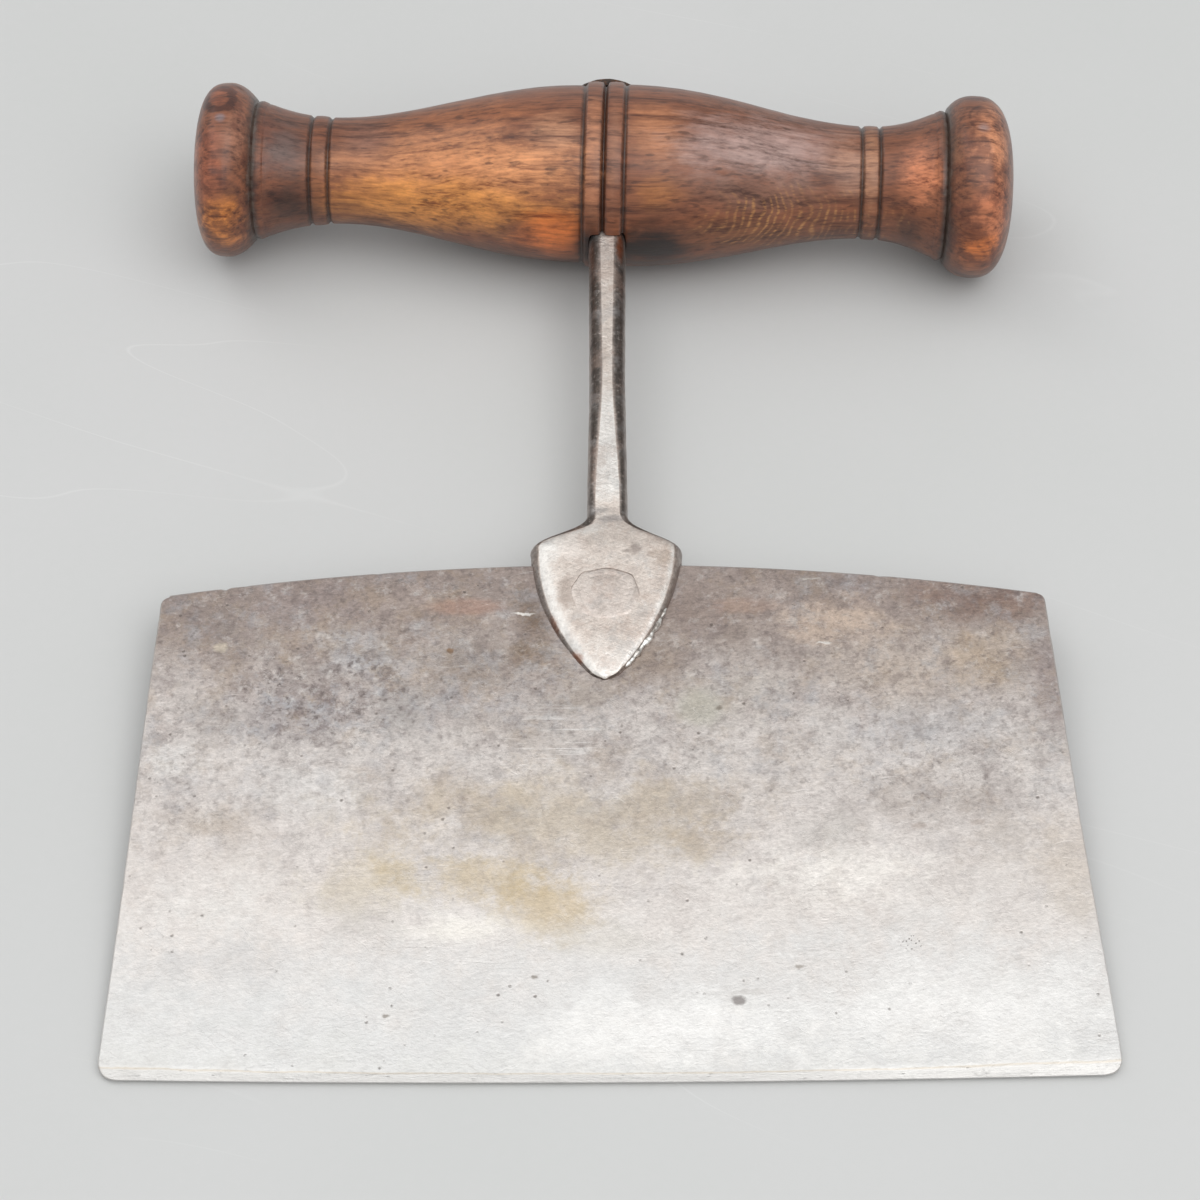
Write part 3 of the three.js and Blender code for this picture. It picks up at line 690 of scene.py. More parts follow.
# Width, facet width, depth and squareness of the section at a distance from the handle's axis.
def forgingSection(at):
    f = forging
    if at < f["shankTopAt"]:
        share = smooth(12, f["shankTopAt"], at)
        width = mix(f["tangWidth"], f["shankWidth"], share)
        return width, mix(f["tangWidth"] * 0.75, f["shankFacet"], share), width, 3
    if at < f["waistAt"]:
        share = smooth(f["shankTopAt"], f["waistAt"], at)
        width, depth = mix(f["shankWidth"], f["waistWidth"], share), mix(f["shankDepth"], f["waistDepth"], share)
        return width, mix(f["shankFacet"], f["waistFacet"], share), depth, 2.1
    if at < f["neckAt"]:
        share = smooth(f["waistAt"], f["neckAt"], at)
        width, depth = mix(f["waistWidth"], f["neckWidth"], share), mix(f["waistDepth"], f["neckDepth"], share)
        return width, mix(f["waistFacet"], f["neckFacet"], share), depth, mix(2.1, 2.6, share)
    if at < f["widestAt"]:
        share = (at - f["neckAt"]) / (f["widestAt"] - f["neckAt"])
        eased = smooth(0, 1, share ** f["shoulderEase"])
        width = mix(f["neckWidth"], f["shieldWidth"], eased) + shoulderSlip(at)
        inset = mix((f["neckWidth"] - f["neckFacet"]) / 2, f["faceInset"], eased)
        return width, width - 2 * inset, mix(f["neckDepth"], f["shieldDepth"], eased), mix(2.6, 1.7, eased)
    share = (at - f["widestAt"]) / (f["pointAt"] - f["widestAt"])
    width = f["shieldWidth"] * (1 - share ** f["sideCurve"]) ** f["tipCurve"] + shoulderSlip(at)
    rounding = min(max((at - f["tipAt"]) / f["pointRound"] + 1, 0), 0.999)
    width *= math.sqrt(1 - rounding ** 2)
    inset = min(mix(f["faceInset"], f["tipInset"], share), width / 3)
    return width, width - 2 * inset, mix(f["shieldDepth"], f["tipDepth"], share), 1.7


# The cheeks lean a little to the left.
def forgingMiddle(at):
    return forging["lean"] * smooth(forging["neckAt"], forging["tipAt"] - 8, at) - shoulderSlip(at) / 2


# Height of the front face above the blade's middle. The cheek's sides were hammered and filed round,
# broadly on the left and finely on the right.
def frontHeight(x, at):
    width, facet, depth, _ = forgingSection(at)
    onShield = smooth(forging["neckAt"] + 1, forging["widestAt"] - 1, at)
    fromLeft, fromRight = max(x + facet / 2, 0), max(facet / 2 - x, 0)
    left = (1 - min(fromLeft / forging["leftRoll"], 1)) ** 2
    right = (1 - min(fromRight / forging["rightRoll"], 1)) ** 2
    tip = min(max(1 - (forging["tipAt"] - at) / forging["tipRoll"], 0), 1) ** 2
    drop = onShield * (forging["leftRollDepth"] * left + forging["rightRollDepth"] * right)
    drop = max(drop, forging["tipRollDepth"] * tip)
    saddle = forging["neckSaddle"] * math.exp(-((at - forging["neckAt"] - 1) / 3.5) ** 2)
    return depth / 2 - min(drop, depth / 5) - saddle


def forgingRing(at, faceSteps=12, sideSteps=12, head=None):
    width, facet, depth, square = forgingSection(at)
    if head:
        width, facet, depth, square = head, head * 0.75, head, 3
    ring = []
    middle = 0 if head else forgingMiddle(at)
    for facing in (1, -1):
        for step in range(-faceSteps, faceSteps + 1):
            x = -facing * facet / 2 * math.sin(math.pi / 2 * step / faceSteps)
            z = frontHeight(x, at) if facing > 0 and not head else depth / 2
            ring.append(Vector((x + middle, -at, facing * z)))
        for step in range(1, sideSteps):
            turn = math.pi * step / sideSteps
            out = facet / 2 + (width - facet) / 2 * math.sin(turn) ** (2 / square)
            rise = math.copysign(abs(math.cos(turn)) ** (2 / square), math.cos(turn))
            top = frontHeight(-facing * facet / 2, at) if rise * facing > 0 and not head else depth / 2
            ring.append(Vector((middle - facing * out, -at, facing * rise * top)))
    return ring


# A worn rounded octagon, flush with both cheeks.
rivet = {
    "at": 87.2, "x": -0.35, "halfWidth": 5.3, "halfHeight": 4.5, "corner": 2.3, "shankRadius": 2.6,
    "rimEase": 0.1, "gap": 0.012, "sides": 96, "scarShare": 0.74, "scarDepth": 0.035,
}
rivetPlace = Matrix.Translation((rivet["x"], -rivet["at"], 0))
shankInBladeMm = Matrix.Translation((stance["shankOffset"], 0, 0)) @ Matrix.Rotation(
    math.radians(stance["shankSkewDeg"]), 4, "Z"
)
rivetInBlade = shankInBladeMm @ rivetPlace


def rivetRing(share, depthIn, facing, grown=0.0, shank=False):
    ring = []
    for step in range(rivet["sides"]):
        turn = 2 * math.pi * step / rivet["sides"]
        power = 2 / rivet["corner"]
        x = math.copysign(abs(math.cos(turn)) ** power, math.cos(turn)) * (rivet["halfWidth"] + grown) * share
        y = math.copysign(abs(math.sin(turn)) ** power, math.sin(turn)) * (rivet["halfHeight"] + grown) * share
        wobble = 1 + 0.03 * noise.noise(Vector((math.cos(turn) * 2, math.sin(turn) * 2, facing)))
        wobble += 0.02 * math.cos(8 * turn + 0.5)
        x, y = x * wobble + rivet["x"], y * wobble - rivet["at"]
        if shank:
            reach = rivet["shankRadius"] + grown
            x, y = rivet["x"] + reach * math.cos(turn), reach * math.sin(turn) - rivet["at"]
        z = 1 if shank else (frontHeight(x - forgingMiddle(-y), -y) if facing > 0 else forgingSection(-y)[2] / 2) - depthIn
        if share == rivet["scarShare"] and facing > 0 and not shank:
            z -= rivet["scarDepth"] * smooth(-0.2, 0.3, math.sin(turn - 0.9))
        ring.append(Vector((x, y, facing * z)))
    return ring


def makeRivetShape(grown=0.0, proud=0.0):
    ease = rivet["rimEase"] if not proud else 0
    scar = rivet["scarShare"]
    front = [(0.04, -0.02), (0.35, -0.02), (scar - 0.03, -0.01), (scar, -0.01), (scar + 0.03, 0), (0.9, 0.01)]
    front += [(0.965, 0.04), (1, ease)]
    rings = [rivetRing(share, depthIn - proud, 1, grown) for share, depthIn in front]
    rings += [rivetRing(1, 0.9, 1, grown), rivetRing(0, 0, 1, grown, True)]
    rings += [rivetRing(0, 0, -1, grown, True), rivetRing(1, 0.9, -1, grown)]
    rings += [rivetRing(share, depthIn - proud, -1, grown) for share, depthIn in front[::-1]]
    return loft(rings)


def makeForgingShape():
    head, f = forging["tangHeadAt"], forging
    rings = [
        forgingRing(head - f["tangHeadHeight"], head=f["tangHeadWidth"] * 0.3),
        forgingRing(head - f["tangHeadHeight"] * 0.93, head=f["tangHeadWidth"] * 0.55),
        forgingRing(head - f["tangHeadHeight"] * 0.6, head=f["tangHeadWidth"] * 0.85),
        forgingRing(head - f["tangHeadHeight"] * 0.2, head=f["tangHeadWidth"]),
        forgingRing(head, head=f["tangHeadWidth"] * 0.97),
        forgingRing(head + 0.1, head=f["tangWidth"]),
        forgingRing(head + 2.1, head=f["tangWidth"]),
    ]
    at = 11.0
    while at < f["tipAt"] - 0.15:
        rings.append(forgingRing(at))
        at += 0.9 if at < f["neckAt"] - 2 else 0.45 if at < f["tipAt"] - 3 else 0.22
    rings.append(forgingRing(f["tipAt"] - 0.05))
    bm = loft(rings)
    # Hammer marks and wear, least on the cheeks' faces
    for vert in bm.verts:
        at = -vert.co.y
        if at < f["shankTopAt"]:
            continue
        way = Vector((vert.co.x, 0, vert.co.z)).normalized()
        rough = 0.05 * noise.noise(vert.co * 0.5) + 0.03 * noise.noise(vert.co * 1.7)
        vert.co += way * min(rough, 0.03)
    slot = bmesh.new()
    half = blade["thickness"] / 2 + f["slotGap"]
    bmesh.ops.create_cube(slot, size=1, matrix=shankInBladeMm.inverted() @ Matrix.Translation(
        (0, -(f["slotTopAt"] + 60), 0)) @ Matrix.Diagonal((60, 120, 2 * half, 1)))
    return cutAway(bm, [slot, makeRivetShape(rivet["gap"], 1.5)])


# The thin ragged run of silver solder that holds the right side of the front cheek to the blade.
solder = {"startAt": 89.3, "endAt": 100.3, "thickness": 0.5, "steps": 130, "sides": 8}


def makeSolderShape():
    rings = []
    for step in range(solder["steps"] + 1):
        share = step / solder["steps"]
        at = mix(solder["startAt"], solder["endAt"], share)
        side = forgingSection(at)[0] / 2
        slope = (forgingSection(at + 0.1)[0] - forgingSection(at - 0.1)[0]) / 0.4
        out = Vector((1, slope, 0)).normalized()
        lump = 1 + 0.7 * noise.noise(Vector((at * 0.6, 0, 5))) + 0.4 * noise.noise(Vector((at * 1.5, 0, 9)))
        radius = solder["thickness"] * max(lump, 0.25) * (0.35 + 0.65 * math.sin(math.pi * share) ** 0.5)
        sway = 0.25 * noise.noise(Vector((at * 0.7, 3, 2)))
        middle = Vector((side + forgingMiddle(at), -at, blade["thickness"] / 2 + 0.35)) + out * (sway - 0.3)
        ring = []
        for turn in [2 * math.pi * number / solder["sides"] for number in range(solder["sides"])]:
            grit = 1 + 0.35 * noise.noise(Vector((at * 1.1, math.cos(turn), math.sin(turn))))
            ring.append(middle + radius * grit * (out * math.cos(turn) + Vector((0, 0, math.sin(turn)))))
        rings.append(ring)
    return loft(rings)


# Burr: the iron washer at the handle's back, over which the tang's end is hammered.
burr = {"radius": 6.5, "hole": 3.15, "seatAt": 14.5, "thickness": 1.5, "ease": 0.28}


def makeBurrShape():
    low, high, ease = burr["seatAt"], burr["seatAt"] + burr["thickness"], burr["ease"]
    outline = [
        (burr["hole"], low), (burr["radius"] - ease, low), (burr["radius"], low + ease),
        (burr["radius"], high - ease), (burr["radius"] - ease * 0.3, high - ease * 0.3),
        (burr["radius"] - ease, high), (burr["hole"] + ease, high), (burr["hole"], high - ease),
    ]
    bm = bmesh.new()
    verts = [bm.verts.new((r, y, 0)) for r, y in outline]
    for one, other in zip(verts, verts[1:] + verts[:1]):
        bm.edges.new((one, other))
    bmesh.ops.subdivide_edges(bm, edges=bm.edges, cuts=3, use_grid_fill=False)
    bmesh.ops.spin(
        bm, geom=[*bm.verts, *bm.edges], axis=(0, 1, 0), cent=(0, 0, 0), angle=2 * math.pi,
        steps=72, use_merge=True, use_duplicate=False,
    )
    bmesh.ops.recalc_face_normals(bm, faces=bm.faces)
    for vert in bm.verts:
        dent = 0.16 * noise.noise(vert.co * 0.45) + 0.05 * noise.noise(vert.co * 1.3)
        if vert.co.y > low + burr["thickness"] / 2:
            vert.co.y += min(dent, 0.02) - 0.05
        vert.co += Vector((vert.co.x, 0, vert.co.z)).normalized() * min(0.1 * noise.noise(vert.co * 0.6), 0)
    return bm


# Steel and iron

bladeLook = {
    "roughness": (0.36, 0.5),
    # Colour down the plate, from its top edge to its cutting edge: a brown-grey patina above; the pale lower part is
    # ground steel with a painted reflection of the overhead light
    "downwards": (
        (80, "#978A84"), (88, "#A0938D"), (95, "#AFA49E"), (103, "#BCB3AF"), (112, "#CAC3BF"), (122, "#D1CAC6"),
        (132, "#D4CDC9"), (142, "#DAD4D0"), (152, "#DAD7D5"), (162, "#D8D7D6"), (171, "#D8D7D5"),
    ),
    # Stains by place, and at (-11.5, 92) a rust stain with painted shadow along the base of the cheek's left wall, and
    # at (7, 99) a darker cloud beside the cheek's lower right rim: x and the distance from the handle's axis, then the
    # reach, colour and strength
    "clouds": (
        ((60, 88), (18, 6), "#82685C", 0.75), ((12, 90), (16, 7), "#8C7A70", 0.5), ((-48, 88), (24, 6), "#978A87", 0.5),
        ((-64, 92), (12, 10), "#80746E", 0.7), ((36, 92), (15, 7), "#C9B4A3", 0.75), ((-37, 98), (15, 6), "#ABABAF", 0.65),
        ((-20, 100), (12, 9), "#8E8178", 0.65), ((7, 99), (9, 7), "#8C7A6C", 0.65), ((-11, 98), (7, 6), "#8F7B68", 0.6),
        ((45, 101), (20, 8), "#C0B1A4", 0.65), ((-49, 109), (12, 9), "#989090", 0.65), ((-32, 107), (12, 8), "#97918F", 0.6),
        ((-68, 117), (7, 7), "#D4D1CF", 0.7), ((22, 105), (14, 8), "#B8B0A8", 0.5), ((52, 112), (18, 7), "#BFBBBB", 0.6),
        ((70, 102), (5, 16), "#8F8280", 0.7), ((61, 100), (8, 9), "#AE9B88", 0.6), ((-45, 122), (14, 6), "#D4D1CF", 0.6),
        ((-62, 127), (10, 5), "#B9AEA4", 0.5), ((-12, 110), (16, 7), "#AFA6A0", 0.6), ((-24, 124), (14, 8), "#B5A592", 0.5), ((-8, 128), (36, 12), "#C0B3A1", 0.7),
        # (-11.5, 92) #705C4A: rust stain with painted shadow along the base of the cheek's left wall
        ((-3, 104), (9, 5), "#9C8E82", 0.5), ((-11.5, 92), (4.5, 9), "#705C4A", 0.8), ((12, 125), (16, 8), "#B8AB9C", 0.5), ((52, 124), (16, 6), "#ABA19B", 0.6), ((-38, 139), (12, 9), "#CCBFA9", 0.5),
        ((-20, 137), (16, 6), "#C5B497", 0.7), ((-9, 142), (11, 8), "#C3B090", 0.75), ((-22, 146), (13, 3.4), "#EFEAE3", 0.7), ((32, 137), (20, 9), "#EDE8E3", 0.8), ((16, 131), (8, 5), "#BCAC97", 0.5),
        ((70, 136), (7, 14), "#C8BDB2", 0.6), ((-60, 142), (14, 7), "#DEDBD8", 0.5), ((-60, 151), (17, 6), "#C3C0BF", 0.5),
        ((0, 148), (14, 4), "#D2CCC4", 0.5), ((50, 160), (40, 12), "#ECEAE8", 0.75),
        ((-37, 145), (9, 5), "#C6C1BC", 0.5), ((33, 130), (9, 5), "#BAB5B1", 0.5), ((61, 130), (6, 5), "#B8B0AA", 0.5),
        ((-61, 109), (6, 6), "#968D89", 0.5), ((20, 94), (6, 5), "#8A7B72", 0.5), ((-54, 94), (8, 5), "#B2A9A3", 0.5),
        ((-46, 101), (10, 4), "#B2ACA8", 0.45), ((-32, 87), (9, 4), "#B0A199", 0.4), ((8, 163), (28, 9), "#F0EEEC", 0.7),
    ),
    "spots": (
        ((-60.7, 95.9), (1.5, 1.4), "#BFB3A4", 0.85), ((-24.5, 96.9), (0.7, 0.6), "#7F6247", 0.8),
        ((-22, 88.6), (8, 2.2), "#AD8A7A", 0.5), ((22, 88.6), (7, 2), "#AB9082", 0.4),
        ((14.7, 107.4), (5, 4.6), "#B4B0A5", 0.7), ((17.6, 107.4), (0.8, 0.7), "#857C72", 0.8),
        ((48, 128.6), (1.6, 0.9), "#9B8C83", 0.5),
        ((57, 128), (1.6, 0.8), "#A09188", 0.4), ((19.5, 158), (1.5, 1.0), "#8F8987", 0.9),
        ((21.5, 156.6), (3.4, 0.7), "#C6C2BF", 0.6), ((-11, 154), (0.8, 0.4), "#8E867E", 0.8),
        ((-33, 160.2), (0.8, 0.5), "#8E867E", 0.8), ((28.6, 152.4), (0.9, 0.5), "#A39B94", 0.8),
        ((-13, 90), (2.4, 0.34), "#DAD5D0", 1.0), ((33, 83.6), (2.4, 0.28), "#C0B9B3", 0.7),
        ((34.6, 95.6), (1.6, 0.3), "#D8D3CE", 0.9),
    ),
    # Patches, large to small: size in mm, noise level where they start and are full, strength, colour
    "patches": (
        (9.0, 0.5, 0.64, 0.4, "#7C6E6C"), (7.0, 0.51, 0.64, 0.4, "#A08C76"), (6.0, 0.52, 0.64, 0.45, "#A9AAAF"),
        (3.0, 0.51, 0.63, 0.45, "#766A68"), (2.4, 0.54, 0.66, 0.3, "#E2DEDB"), (1.2, 0.52, 0.64, 0.5, "#665C5A"),
    ),
    # Where the mottling is stronger: place, reach and how much
    "mottled": (((-45, 105), (20, 13), 0.7), ((52, 120), (18, 9), 0.4), ((-64, 127), (10, 6), 0.3)),
    # The grain of the surface: length and width in mm, and how much lighter or darker it gets
    "grain": ((3.0, 2.2, 0.5), (1.1, 0.8, 0.6), (0.7, 0.45, 0.95)),
}


# Carbon steel plate, ground and long used: pale and bright by the edge where it is sharpened, with a painted reflection
# of the overhead light there, and a brown-grey patina above with cloudy food stains, dark specks, a sandy grain and a
# few pits.
def makeBladeSteel():
    material, add = startMaterial("stainedCarbonSteel")
    plain = pieceCoords(add, bladePlace)
    # The back face lies far off in the pattern, so that it has stains of its own
    coords = add("VectorMath", {"operation": "MULTIPLY", 0: plain, 1: (1, 1, 14)})
    ragged = raggedCoords(add, coords, 1.3, 1.2)
    fray = add("TexNoise", {"Vector": coords, "Scale": 0.12, "Detail": 9.0, "Roughness": 0.72})
    far = add("SeparateXYZ", {"Vector": coords}).node.outputs["Y"]
    far = add("Math", {"operation": "MULTIPLY_ADD", 0: fray, 1: 50.0, 2: add(
        "Math", {"operation": "ADD", 0: far, 1: -25.0})})
    down = add("MapRange", {"Value": far, "From Min": -80.0, "From Max": -171.0})
    # Patina and painted reflection: the ramp gets paler towards the cutting edge
    steel = add("ValToRGB", {"Fac": down, "stops": [
        ((at - 80) / 91, colour) for at, colour in bladeLook["downwards"]
    ]})
    for (x, at), (reachX, reachY), colour, strength in bladeLook["clouds"]:
        mask = stainMask(add, coords, (x, -at, 12.6), (reachX, reachY, 18), 0.95, fray, 3.0)
        part = add("Math", {"operation": "MULTIPLY", 0: mask, 1: strength})
        steel = add("Mix", {"data_type": "RGBA", 0: part, 1: steel, 2: hexColour(colour)})
    # Mottling: stronger in the patina than on the ground part
    patina = add("MapRange", {"Value": down, "From Min": 0.72, "From Max": 0.25, "To Min": 0.12, "To Max": 0.9})
    for centre, reach, more in bladeLook["mottled"]:
        place = stainMask(add, coords, (centre[0], -centre[1], 12.6), (*reach, 18), 0.8, fray, 2.0)
        patina = add("Math", {"operation": "MULTIPLY_ADD", 0: place, 1: more, 2: patina})
    for number, (size, start, full, strength, colour) in enumerate(bladeLook["patches"]):
        spots = add("Mapping", {
            "Vector": coords, "Location": (size * 9, number * 17, 0), "Rotation": (0, 0, 0.5 - number * 0.2),
            "Scale": (1, 1, 0.2),
        })
        cloud = add("TexNoise", {"Vector": spots, "Scale": 1 / size, "Detail": 8.0, "Roughness": 0.72})
        mask = add("MapRange", {"Value": cloud, "From Min": start, "From Max": full, "To Max": strength})
        part = add("Math", {"operation": "MULTIPLY", 0: mask, 1: patina})
        steel = add("Mix", {"data_type": "RGBA", 0: part, 1: steel, 2: hexColour(colour)})
    for (x, at), (reachX, reachY), colour, strength in bladeLook["spots"]:
        mask = stainMask(add, ragged, (x, -at, 12.6), (reachX, reachY, 8), 0.6)
        part = add("Math", {"operation": "MULTIPLY", 0: mask, 1: strength})
        steel = add("Mix", {"data_type": "RGBA", 0: part, 1: steel, 2: hexColour(colour)})
    # The sandy grain, drawn coarser than the real one so that it shows
    rough = add("MapRange", {"Value": down, "From Min": 0.9, "From Max": 0.3, "To Min": 0.24, "To Max": 0.75})
    tone = None
    for length, width, amount in bladeLook["grain"]:
        strokes = add("Mapping", {
            "vector_type": "TEXTURE", "Vector": coords, "Rotation": (0, 0, math.radians(8)),
            "Scale": (length, width, 1),
        })
        cloud = add("TexNoise", {"Vector": strokes, "Scale": 1.0, "Detail": 4.0, "Roughness": 0.65})
        step = add("Math", {"operation": "MULTIPLY_ADD", 0: cloud, 1: amount, 2: -amount / 2})
        tone = step if tone is None else add("Math", {"operation": "ADD", 0: tone, 1: step})
    grained = add("Math", {"operation": "MULTIPLY_ADD", 0: tone, 1: rough, 2: 1.0})
    steel = add("VectorMath", {"operation": "SCALE", 0: steel, 1: grained})
    # Fine scratches, all over and in one rubbed place
    scratches = None
    for angle, spacing, length, thin, share in (
        (3, 1.2, 16, 0.006, 0.25), (-34, 1.3, 9, 0.006, 0.2), (20, 1.5, 8, 0.006, 0.2),
    ):
        mask = scratchMask(add, coords, angle, spacing, length, thin)
        steel = add("Mix", {"data_type": "RGBA", 0: add("Math", {"operation": "MULTIPLY", 0: mask, 1: share}),
                            1: steel, 2: hexColour("#E9E6E3")})
        scratches = mask if scratches is None else add("Math", {"operation": "MAXIMUM", 0: scratches, 1: mask})
    rubbedPlace = stainMask(add, coords, (-8, -113, 12.6), (13, 7, 8), 0.7, fray, 1.5)
    rubbing = add("Mapping", {"Vector": coords, "Scale": (0.09, 2.5, 1)})
    rubbing = add("TexNoise", {"Vector": rubbing, "Scale": 1.0, "Detail": 2.0})
    rubbing = add("MapRange", {"Value": rubbing, "From Min": 0.55, "From Max": 0.65, "To Max": 0.4})
    rubbing = add("Math", {"operation": "MULTIPLY", 0: rubbing, 1: rubbedPlace})
    steel = add("Mix", {"data_type": "RGBA", 0: rubbing, 1: steel, 2: hexColour("#EEECEA")})
    # Pits, a few and a cluster
    cells = add("TexVoronoi", {"Vector": coords, "Scale": 0.36, "Randomness": 1.0})
    pitSize = add("MapRange", {"Value": cells, "From Min": 0.12, "From Max": 0.04})
    cluster = stainMask(add, coords, (45.7, -148.4, 12.6), (2.4, 1.8, 8), 0.7)
    rare = add("MapRange", {"Value": fray, "From Min": 0.5, "From Max": 0.57})
    pits = add("Math", {"operation": "MULTIPLY", 0: pitSize, 1: rare})
    clusterCells = add("TexVoronoi", {"Vector": coords, "Scale": 2.2, "Randomness": 1.0})
    clusterPits = add("MapRange", {"Value": clusterCells, "From Min": 0.3, "From Max": 0.2})
    pits = add("Math", {"operation": "MAXIMUM", 0: pits, 1: add(
        "Math", {"operation": "MULTIPLY", 0: clusterPits, 1: cluster})})
    steel = add("Mix", {"data_type": "RGBA", 0: add("Math", {"operation": "MULTIPLY", 0: pits, 1: 0.7}),
                        1: steel, 2: hexColour("#756C66")})
    # The ground bevel, its line, and the bright worn rims
    share = add("Attribute", {"attribute_name": "bevelShare"}).node.outputs["Fac"]
    onBevel = add("MapRange", {"Value": share, "From Min": 1.04, "From Max": 0.94, "To Max": 0.5})
    steel = add("Mix", {"data_type": "RGBA", 0: onBevel, 1: steel, 2: hexColour("#DCD9D6")})
    share = add("Math", {"operation": "MULTIPLY_ADD", 0: fray, 1: 0.6, 2: add(
        "Math", {"operation": "ADD", 0: share, 1: -0.3})})
    lineAway = add("Math", {"operation": "ABSOLUTE", 0: add("Math", {"operation": "SUBTRACT", 0: share, 1: 1.0})})
    line = add("MapRange", {"Value": lineAway, "From Min": 0.16, "From Max": 0.02, "To Max": 0.65})
    steel = add("Mix", {"data_type": "RGBA", 0: line, 1: steel, 2: hexColour("#C9BEAE")})
    rimAway = add("Attribute", {"attribute_name": "fromRim"}).node.outputs["Fac"]
    rim = add("MapRange", {"Value": rimAway, "From Min": 0.35, "From Max": 0.05, "To Max": 0.5})
    steel = add("Mix", {"data_type": "RGBA", 0: rim, 1: steel, 2: hexColour("#CBC7C3")})
    low, high = bladeLook["roughness"]
    gloss = add("MapRange", {"Value": fray, "From Min": 0.35, "From Max": 0.65, "To Min": high, "To Max": low})
    height = add("Math", {"operation": "MULTIPLY_ADD", 0: scratches, 1: -0.3, 2: tone})
    height = add("Math", {"operation": "MULTIPLY_ADD", 0: pits, 1: -1.5, 2: height})
    bump = add("Bump", {"Height": height, "Strength": 0.7, "Distance": 0.0001})
    shader = add("BsdfPrincipled", {"Base Color": steel, "Metallic": 0.7, "Roughness": gloss, "Normal": bump})
    add("OutputMaterial", {"Surface": shader})
    return material


ironLook = {
    # The polished end of the forging's ramp also colours the painted highlights along the cheek's rolled rims
    "worn": {
        "polished": "#E3DFDB", "rubbed": "#D2C7BF", "mid": "#AEA29B", "dark": "#746B66", "scale": "#4C4642",
        "roughness": (0.27, 0.4),
    },
    "rivet": {
        "polished": "#D8D1CB", "rubbed": "#CEC3BC", "mid": "#A1968F", "dark": "#7A6E66", "scale": "#4E4540",
        "roughness": (0.29, 0.42),
    },
}


# Size in mm, noise level where they start, strength and colour
ironStains = (
    (5.0, 0.5, 0.35, "#AD968A"), (4.0, 0.52, 0.35, "#A8A6A6"), (1.6, 0.54, 0.25, "#857A74"), (0.7, 0.55, 0.4, "#C9C2BC"),
)


